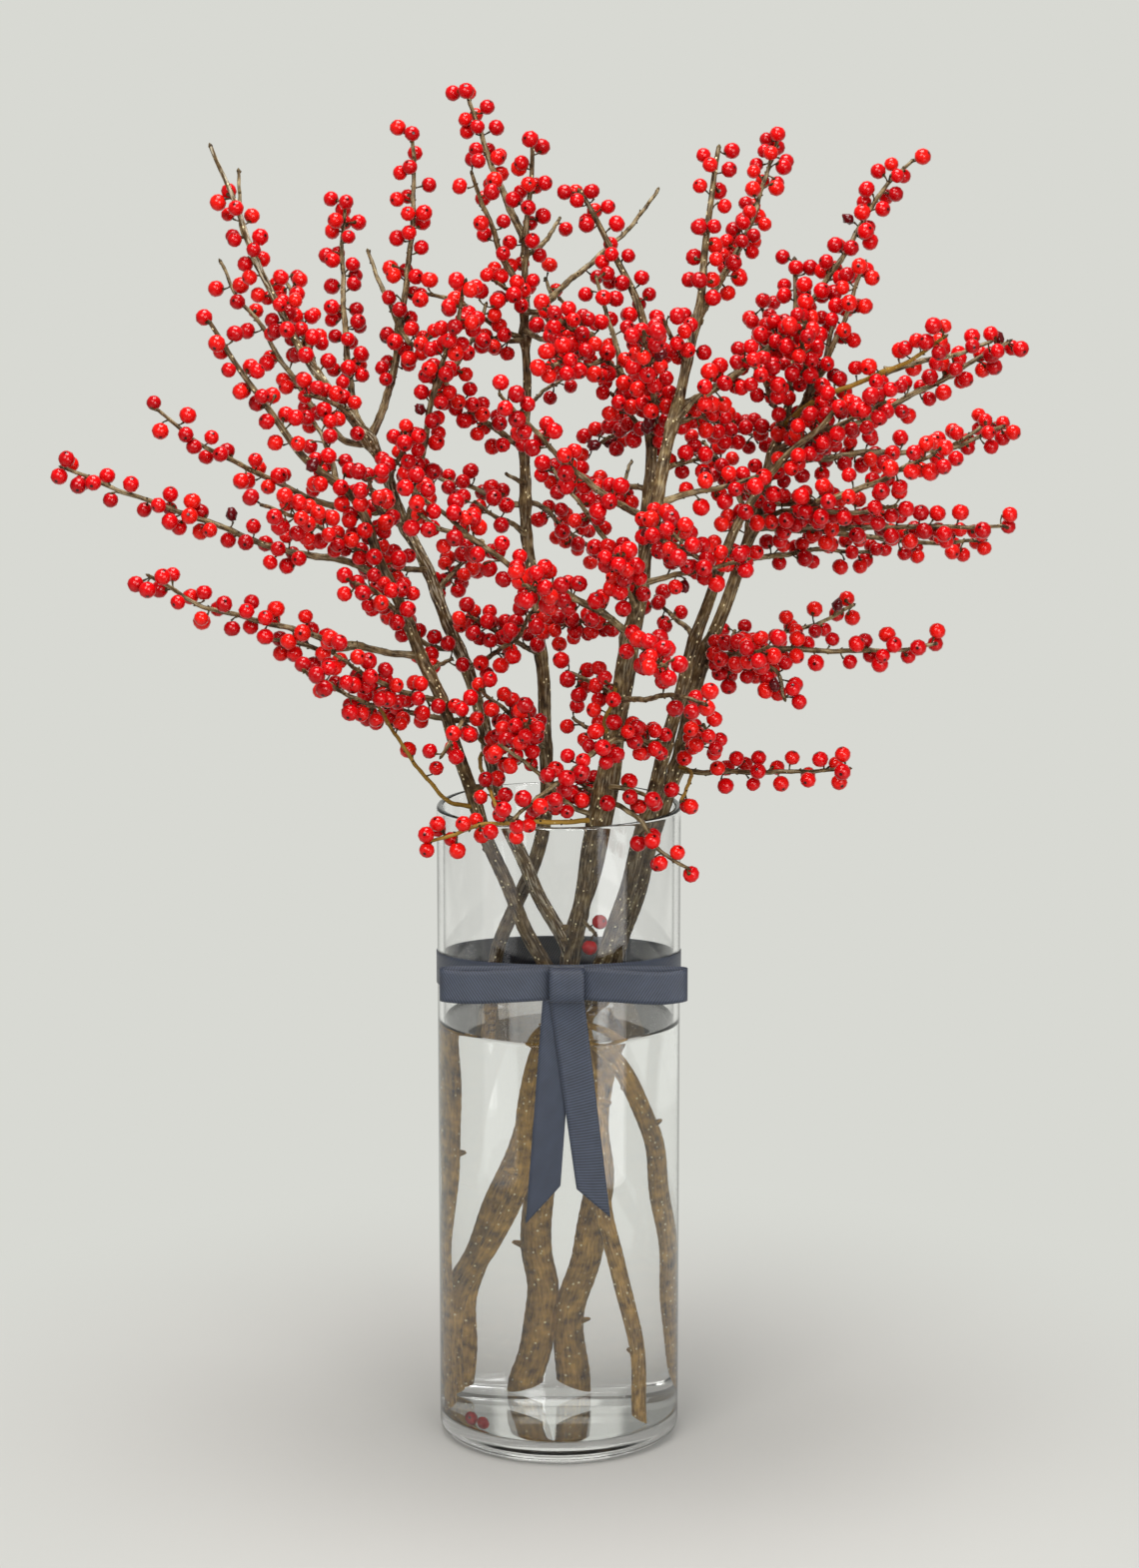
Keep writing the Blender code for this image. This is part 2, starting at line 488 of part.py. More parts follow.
def draw_apart(lines):
    """Move the shoots' free points in depth until lines that cross in the drawing pass each other."""
    names = list(lines)
    owner, before, share, near_root = [], [], [], []
    for index, name in enumerate(names):
        low, part, places = samples_of(lines[name])
        owner.append(np.full(len(low), index))
        before.append(low)
        share.append(part)
        near_root.append(places < ROOT_ZONE)
    owner, before = np.concatenate(owner), np.concatenate(before)
    share, near_root = np.concatenate(share), np.concatenate(near_root)
    parents = [names.index(lines[name].parent) if lines[name].parent else -1 for name in names]
    starts = np.cumsum([0] + [len(lines[name].points) for name in names])[:-1]
    points = np.concatenate([lines[name].points for name in names])
    radii = np.concatenate([lines[name].radii for name in names])
    fixed = np.concatenate([lines[name].fixed for name in names])
    low = starts[owner] + before
    flat = (points[low] * (1.0 - share[:, None]) + points[low + 1] * share[:, None])[:, [0, 2]]
    girth = radii[low] * (1.0 - share) + radii[low + 1] * share
    apart = np.linalg.norm(flat[:, None] - flat[None], axis=2)
    need = girth[:, None] + girth[None] + CROSSING_ROOM
    first, second = np.nonzero((apart < need + CROSSING_REACH) & (owner[:, None] < owner[None]))
    parents = np.array(parents)
    child_first = (parents[owner[first]] == owner[second]) & near_root[first]
    child_second = (parents[owner[second]] == owner[first]) & near_root[second]
    twins = (parents[owner[first]] == parents[owner[second]]) & near_root[first] & near_root[second]
    kept = ~(child_first | child_second | twins)
    first, second = first[kept], second[kept]
    need = need[first, second]
    for _ in range(CROSSING_ROUNDS):
        depth = points[low, 1] * (1.0 - share) + points[low + 1, 1] * share
        gap = depth[first] - depth[second]
        side = np.where(gap >= 0.0, 1.0, -1.0)
        short = np.maximum(need - np.abs(gap), 0.0) * side
        if not short.any():
            break
        push = np.zeros(len(points))
        for ends, way in ((first, CROSSING_PUSH), (second, -CROSSING_PUSH)):
            for offset, weight in ((0, 1.0 - share[ends]), (1, share[ends])):
                moved = short * way * weight
                strongest_up = np.zeros(len(points))
                strongest_down = np.zeros(len(points))
                np.maximum.at(strongest_up, low[ends] + offset, moved)
                np.minimum.at(strongest_down, low[ends] + offset, moved)
                push += strongest_up + strongest_down
        push[fixed] = 0.0
        points[:, 1] += push
    for index, name in enumerate(names):
        line = lines[name]
        line.points[:] = points[starts[index]:starts[index] + len(line.points)]


def grown_lines():
    """Every stem and shoot as a drawn line, by name, parents first."""
    lines = {stem.name: stem_line(stem) for stem in STEMS}
    for shoot in SHOOTS:
        lines[shoot.name] = shoot_line(shoot, lines)
    draw_apart(lines)
    for shoot in SHOOTS:
        line, parent = lines[shoot.name], lines[shoot.parent]
        line.points[0] = nearest_on(parent.points, (line.points[0][0], line.points[0][2]))
    return lines


def crowd_of(lines):
    """Real places close together along every line, with the radius and the stem of each."""
    places, radii, owners, names = [], [], [], []
    for line in lines.values():
        before, share, _ = samples_of(line)
        real = real_place(line.points)
        places.append(real[before] * (1.0 - share[:, None]) + real[before + 1] * share[:, None])
        radii.append(line.radii[before] * (1.0 - share) + line.radii[before + 1] * share)
        owners += [line.stem] * len(before)
        names += [line.name] * len(before)
    return np.concatenate(places), np.concatenate(radii), np.array(owners), np.array(names)


def clear_of_glass(centre):
    """Whether a berry there stays off the vase's wall and rim."""
    across = math.hypot(centre[0], centre[1])
    if centre[2] > VASE_HEIGHT + BERRY_RADIUS + CLEAR_OF_OTHERS:
        return True
    inside = across + BERRY_RADIUS + CLEAR_OF_OTHERS < VASE_RADIUS - VASE_WALL
    outside = across - BERRY_RADIUS - CLEAR_OF_OTHERS > VASE_RADIUS
    return inside or outside


def berry_places(lines):
    """Centres of the berries, as (stem name, centre), even along the fruiting wood and out to its tips."""
    wood, girths, owners, names = crowd_of(lines)
    starts = {stem.name: stem.fruit for stem in STEMS}
    kept, kept_stems = [], []
    for line in lines.values():
        real = real_place(line.points)
        far = along(real)
        draw = random.Random(line.name)
        turn = draw.uniform(0.0, 2.0 * math.pi)
        first = far[-1] * starts.get(line.name, BARE_SHARE)
        place = far[-1] - TIP_INSET
        while place > first:
            behind, centre, ahead = (
                np.array([np.interp(spot, far, real[:, axis]) for axis in range(3)])
                for spot in (place - LOOK_AHEAD, place, place + LOOK_AHEAD)
            )
            way = Vector(ahead - behind).normalized()
            side = way.orthogonal().normalized()
            for _ in range(TRIES):
                turn += GOLDEN_TURN
                offset = side * math.cos(turn) + way.cross(side) * math.sin(turn)
                berry = centre + np.array(offset) * BERRY_SINK
                strangers = owners != line.stem
                room = np.linalg.norm(wood - berry, axis=1) - girths - BERRY_RADIUS
                if (room[strangers] < CLEAR_OF_OTHERS).any() or not clear_of_glass(berry):
                    continue
                cousins = (owners == line.stem) & (names != line.name)
                if (room[cousins] < -DEEPEST_IN_OWN_WOOD).any():
                    continue
                if kept and np.linalg.norm(np.array(kept) - berry, axis=1).min() < BERRY_APART:
                    continue
                kept.append(berry)
                kept_stems.append(line.stem)
                break
            place -= BERRY_STEP
    return list(zip(kept_stems, kept))


def vase(finish):
    """The glass: a straight wall on a thick floor, with a rounded foot, inner corner and rim."""
    wall_inside = VASE_RADIUS - VASE_WALL
    foot = VASE_FOOT_ROUND
    corner = [
        (VASE_RADIUS - foot + foot * math.sin(turn), foot - foot * math.cos(turn))
        for turn in (0.0, math.pi / 6.0, math.pi / 3.0, math.pi / 2.0)
    ]
    profile = [(0.0, 0.0), *corner]
    profile += [
        (VASE_RADIUS, VASE_HEIGHT - VASE_RIM_ROUND),
        (VASE_RADIUS - VASE_RIM_ROUND, VASE_HEIGHT),
        (wall_inside + VASE_RIM_ROUND, VASE_HEIGHT),
        (wall_inside, VASE_HEIGHT - VASE_RIM_ROUND),
        (wall_inside, VASE_FLOOR + VASE_INNER_ROUND),
        (wall_inside - VASE_INNER_ROUND, VASE_FLOOR),
        (0.0, VASE_FLOOR),
    ]
    return object_of("vase", turned(profile, ROUND_SIDES), finish)


def water(lines, finish):
    """The water, with a plain hole for each stem and for the fallen berry."""
    side = VASE_RADIUS - VASE_WALL - 1.7 * GAP
    bottom = VASE_FLOOR + GAP
    profile = [
        (0.0, bottom),
        (side - VASE_INNER_ROUND, bottom),
        (side, bottom + VASE_INNER_ROUND),
        (side, WATER_LEVEL),
        (0.0, WATER_LEVEL),
    ]
    body = object_of("water", turned(profile, ROUND_SIDES), finish)
    holes = bpy.data.collections.new("water_holes")
    bpy.context.scene.collection.children.link(holes)
    cutters = []
    for stem in STEMS:
        line = lines[stem.name]
        real = real_place(line.points)
        count = int(np.argmax(real[:, 2] > WATER_LEVEL + HOLE_EXTRA)) + 1
        run = real[:count].copy()
        run[0] += (run[0] - run[1]) / np.linalg.norm(run[0] - run[1]) * HOLE_EXTRA
        radii = line.radii[:count] + 1.2 * GAP
        cutters.append(object_of("hole_" + stem.name, tube(run, radii, STEM_SIDES), None))
    berry = (*FALLEN_BERRY, VASE_FLOOR + GAP + BERRY_RADIUS)
    cutters.append(object_of("hole_berry", ball(berry, BERRY_RADIUS + 1.5 * GAP, "fallen"), None))
    for cutter in cutters:
        bpy.context.scene.collection.objects.unlink(cutter)
        holes.objects.link(cutter)
        cutter.hide_render = True
        cutter.display_type = "WIRE"
    cut = body.modifiers.new("stem holes", "BOOLEAN")
    cut.operation = "DIFFERENCE"
    cut.solver = "EXACT"
    cut.operand_type = "COLLECTION"
    cut.collection = holes
    return body


def ribbon_band(finish):
    """The turn of ribbon round the glass, which sits lower at the back."""
    inside = VASE_RADIUS + 1.2 * GAP
    outside = inside + RIBBON_THICKNESS
    low = RIBBON_TOP_MIDDLE - RIBBON_WIDTH
    profile = [(inside, low), (outside, low), (outside, RIBBON_TOP_MIDDLE), (inside, RIBBON_TOP_MIDDLE)]
    return object_of("ribbon_band", turned(profile, ROUND_SIDES, lambda x, y: -RIBBON_LEAN * y), finish)


def loop_outline(start, reach, depth, back):
    """Top view of one loop of the bow, from the knot out to its rounded end and back."""
    points = []
    for step in range(2 * LOOP_STEPS):
        turn = math.pi * step / LOOP_STEPS
        along_loop = 0.5 - 0.5 * math.cos(turn)
        spread = math.sin(turn) * along_loop**LOOP_FULLNESS * 0.5
        points.append((start + (reach - start) * along_loop, back - depth * (0.5 - spread)))
    return points


def bow_loop(name, start, reach, back):
    """One loop of the bow, a band standing on edge with room inside it."""
    way = 1.0 if reach > start else -1.0
    thick = RIBBON_THICKNESS
    outer = loop_outline(start, reach, LOOP_DEPTH, back)
    inner = loop_outline(
        start + way * 3.0 * thick, reach - way * thick, LOOP_DEPTH - 2.0 * thick, back - thick
    )
    low = KNOT_TOP - KNOT_SIZE[2] + LOOP_LIFT
    return object_of("loop_" + name, prism(outer, low, low + RIBBON_WIDTH, inner), None)


def bow_tail(name, corners, face):
    """One cut tail, hanging flat with its back at the given depth."""
    flat = [(x, -z) for x, z in corners]
    tail = object_of("tail_" + name, prism(flat, 0.0, RIBBON_THICKNESS), None)
    upright = Matrix.Translation((0.0, face * MM, 0.0)) @ Matrix.Rotation(-math.pi / 2.0, 4, "X")
    tail.data.transform(upright)
    return tail


def bow(finish):
    """The knot, the two loops and the two cut tails, joined as the one length that they are."""
    back = -(VASE_RADIUS + RIBBON_THICKNESS + 2.4 * GAP)
    wide, deep, tall = KNOT_SIZE
    front = back - deep
    left, right = KNOT_LEFT, KNOT_LEFT + wide
    knot_outline = [
        (left, back),
        (right, back),
        (right, front + KNOT_CHAMFER),
        (right - KNOT_CHAMFER, front),
        (left + KNOT_CHAMFER, front),
        (left, front + KNOT_CHAMFER),
    ]
    body = object_of("ribbon_bow", prism(knot_outline, KNOT_TOP - tall, KNOT_TOP), finish)
    pieces = [
        bow_loop("left", left + LOOP_TUCK, LOOP_REACH_LEFT, back - LOOP_OFF),
        bow_loop("right", right - LOOP_TUCK, LOOP_REACH_RIGHT, back - LOOP_OFF),
        bow_tail("left", TAIL_LEFT, back - TAIL_OFF),
        bow_tail("right", TAIL_RIGHT, back - TAIL_OFF - TAIL_STEP),
    ]
    return joined("ribbon_bow", body, pieces, finish)


def branch(stem, lines, berries, finish):
    """One branch: its stem, the shoots that grow from it, and their berries, as one body."""
    name = "branch_" + stem.name
    line = lines[stem.name]
    body = object_of(name, tube(real_place(line.points), line.radii, STEM_SIDES), finish)
    pieces = []
    for other in lines.values():
        if other.stem != stem.name or other.parent is None:
            continue
        wood = tube(real_place(other.points), other.radii, SHOOT_SIDES)
        pieces.append(object_of("shoot_" + other.name, wood, None))
    for number, (owner, centre) in enumerate(berries):
        if owner == stem.name:
            pieces.append(object_of(f"berry_{number}", ball(centre, BERRY_RADIUS, number), None))
    return joined(name, body, pieces, finish)


def main():
    """Build every piece."""
    for item in list(bpy.data.objects):
        bpy.data.objects.remove(item)
    finishes = {name: material(name) for name in COLOURS}
    lines = grown_lines()
    berries = berry_places(lines)
    vase(finishes["glass"])
    water(lines, finishes["water"])
    ribbon_band(finishes["ribbon"])
    bow(finishes["ribbon"])
    for stem in STEMS:
        branch(stem, lines, berries, finishes["branch"])
    fallen = (*FALLEN_BERRY, VASE_FLOOR + GAP + BERRY_RADIUS)
    object_of("fallen_berry", ball(fallen, BERRY_RADIUS, "fallen"), finishes["branch"])


main()
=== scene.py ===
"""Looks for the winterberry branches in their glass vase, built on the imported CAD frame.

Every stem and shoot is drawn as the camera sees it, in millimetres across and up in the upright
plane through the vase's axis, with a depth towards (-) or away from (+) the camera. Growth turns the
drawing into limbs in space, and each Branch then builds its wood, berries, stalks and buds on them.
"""

from __future__ import annotations

import enum
import json
import logging
import math
import random
from dataclasses import dataclass, field
from functools import partial
from typing import Any, Callable, Sequence

import bmesh
import bpy
import numpy as np
from mathutils import Matrix, Vector

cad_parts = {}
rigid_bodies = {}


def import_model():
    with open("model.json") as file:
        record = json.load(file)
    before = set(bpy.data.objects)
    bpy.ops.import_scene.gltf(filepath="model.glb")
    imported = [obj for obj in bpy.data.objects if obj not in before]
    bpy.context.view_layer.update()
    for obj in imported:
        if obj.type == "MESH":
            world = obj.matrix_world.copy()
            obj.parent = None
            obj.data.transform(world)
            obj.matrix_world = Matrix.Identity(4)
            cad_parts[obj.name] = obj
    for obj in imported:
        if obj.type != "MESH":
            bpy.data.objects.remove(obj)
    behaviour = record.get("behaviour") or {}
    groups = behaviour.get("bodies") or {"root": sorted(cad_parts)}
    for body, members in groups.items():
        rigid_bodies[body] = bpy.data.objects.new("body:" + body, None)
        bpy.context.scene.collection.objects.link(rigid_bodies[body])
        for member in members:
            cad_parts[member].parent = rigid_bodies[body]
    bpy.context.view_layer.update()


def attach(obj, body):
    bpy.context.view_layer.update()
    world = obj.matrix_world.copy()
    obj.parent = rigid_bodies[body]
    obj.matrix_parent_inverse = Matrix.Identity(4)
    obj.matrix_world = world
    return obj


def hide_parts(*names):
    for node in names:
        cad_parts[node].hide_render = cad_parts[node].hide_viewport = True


LOG = logging.getLogger("winterberry")
MM = 0.001
EYE = np.array([6.6, -2358.0, 858.0])
EYE_PITCH = math.radians(10.7)
LENS_MM = 89.885
SENSOR_MM = 36.0
GOLDEN_TURN = math.radians(137.5)

# A wave texture of scale 1 repeats after this many millimetres.
WAVE_TEXTURE_MM = 314.16

# How far before and behind a place on a limb its direction is read, in millimetres.
WAY_REACH = 1.5


class Kind(enum.Enum):
    """What sort of value a mesh attribute holds."""

    NUMBER = "FLOAT"
    VECTOR = "FLOAT_VECTOR"


class Side(enum.Enum):
    """A side of the bow, as the sign that x has there."""

    LEFT = -1.0
    RIGHT = 1.0


@dataclass(frozen=True)
class Stem:
    """A cut main stem: its foot (x, y) on the vase's floor, its drawn path, and where its berries start."""

    name: str
    foot: tuple[float, float]
    path: tuple[tuple[float, float, float], ...]
    fruit: float


@dataclass(frozen=True)
class Shoot:
    """A side shoot: its parent limb, the depth of its tip, and its drawn path from root to tip.

    Its root is its radius where it leaves the parent. A swing under 1 takes it to its depth early on.
    """

    name: str
    parent: str
    depth: float
    path: tuple[tuple[float, float], ...]
    root: float = 2.1
    swing: float = 1.0


@dataclass(frozen=True)
class Fruiting:
    """How a limb bears: the shares of its length between which berries grow, and berries per leaf scar."""

    start: float = 0.2
    end: float = 1.0
    crowd: float = 2.1


STEMS = (
    Stem("far_left", (53, 26), (
        (48, 24, 50), (47, 17, 121), (45, 13, 158), (42, 5, 195), (38, 1, 213), (27, -5, 240),
        (13, -8, 262), (-10, -6, 301), (-30, -9, 343), (-50, -14, 397), (-68, -26, 453), (-83, -38, 490),
        (-103, -52, 539), (-127, -62, 591), (-157, -70, 616), (-178, -75, 649), (-196, -80, 672),
        (-208, -85, 693)), 0.72),
    Stem("left", (45, -33), (
        (42, -28, 47), (37, -24, 79), (29, -20, 114), (22, -15, 154), (15, 4, 240), (12, 7, 262),
        (8, 8, 301), (-18, 12, 353), (-32, 14, 388), (-47, 18, 456), (-63, 24, 499), (-85, 26, 558),
        (-95, 24, 579), (-114, 20, 622), (-137, 18, 651), (-160, 20, 690), (-182, 22, 734),
        (-197, 24, 773), (-206, 25, 798)), 0.8),
    Stem("middle", (-57, -7), (
        (-58, -4, 58), (-56, 4, 112), (-51, 9, 145), (-46, 19, 182), (-45, 26, 225), (-43, 29, 262),
        (-38, 32, 306), (-27, 32, 337), (-10, 32, 384), (-7, 38, 427), (-9, 44, 471), (-13, 48, 512),
        (-18, 50, 557), (-20, 50, 606), (-20, 46, 666), (-20, 43, 719), (-17, 41, 773),
        (-16, 40, 802)), 0.88),
    Stem("right", (-41, 28), (
        (-43, 23, 69), (-39, 17, 102), (-32, 12, 122), (-22, 5, 151), (-17, 0, 173), (-11, -12, 240),
        (2, -20, 280), (7, -26, 300), (16, -42, 346), (22, -58, 390), (35, -74, 453), (44, -88, 506),
        (54, -95, 563), (66, -85, 618), (79, -62, 678), (87, -42, 730), (91, -25, 764),
        (96, -10, 797)), 0.84),
    Stem("behind", (-12, 57), (
        (-7, 53, 74), (-6, 51, 100), (-9, 49, 124), (-7, 46, 154), (-3, 36, 241), (0, 32, 267),
        (6, 27, 302), (25, 22, 375), (35, 24, 434), (40, 24, 465), (49, 20, 526), (53, 10, 575),
        (57, 15, 621), (56, 20, 663), (47, 28, 705), (35, 34, 730), (19, 38, 764), (13, 40, 773)), 0.78),
    Stem("near_right", (-35, 46), (
        (-33, 40, 95), (-29, 36, 125), (-22, 31, 166), (-14, 27, 198), (-7, 25, 222), (3, 23, 242),
        (12, 21, 267), (26, 16, 301), (42, -2, 346), (56, -10, 399), (71, -24, 459), (87, -34, 512),
        (99, -40, 548), (109, -44, 576), (127, -52, 601), (145, -60, 620), (158, -66, 631),
        (171, -70, 647)), 0.82),
    Stem("far_right", (5, 57), (
        (4, 54, 62), (5, 51, 92), (10, 47, 124), (13, 44, 156), (17, 38, 241), (35, 34, 303),
        (50, 22, 347), (60, 12, 386), (65, 9, 404), (72, 7, 422), (80, 4, 459), (97, 0, 512),
        (109, -4, 545), (118, -5, 575), (130, 0, 615), (139, 6, 648), (141, 14, 696),
        (141, 22, 730)), 0.74),
)

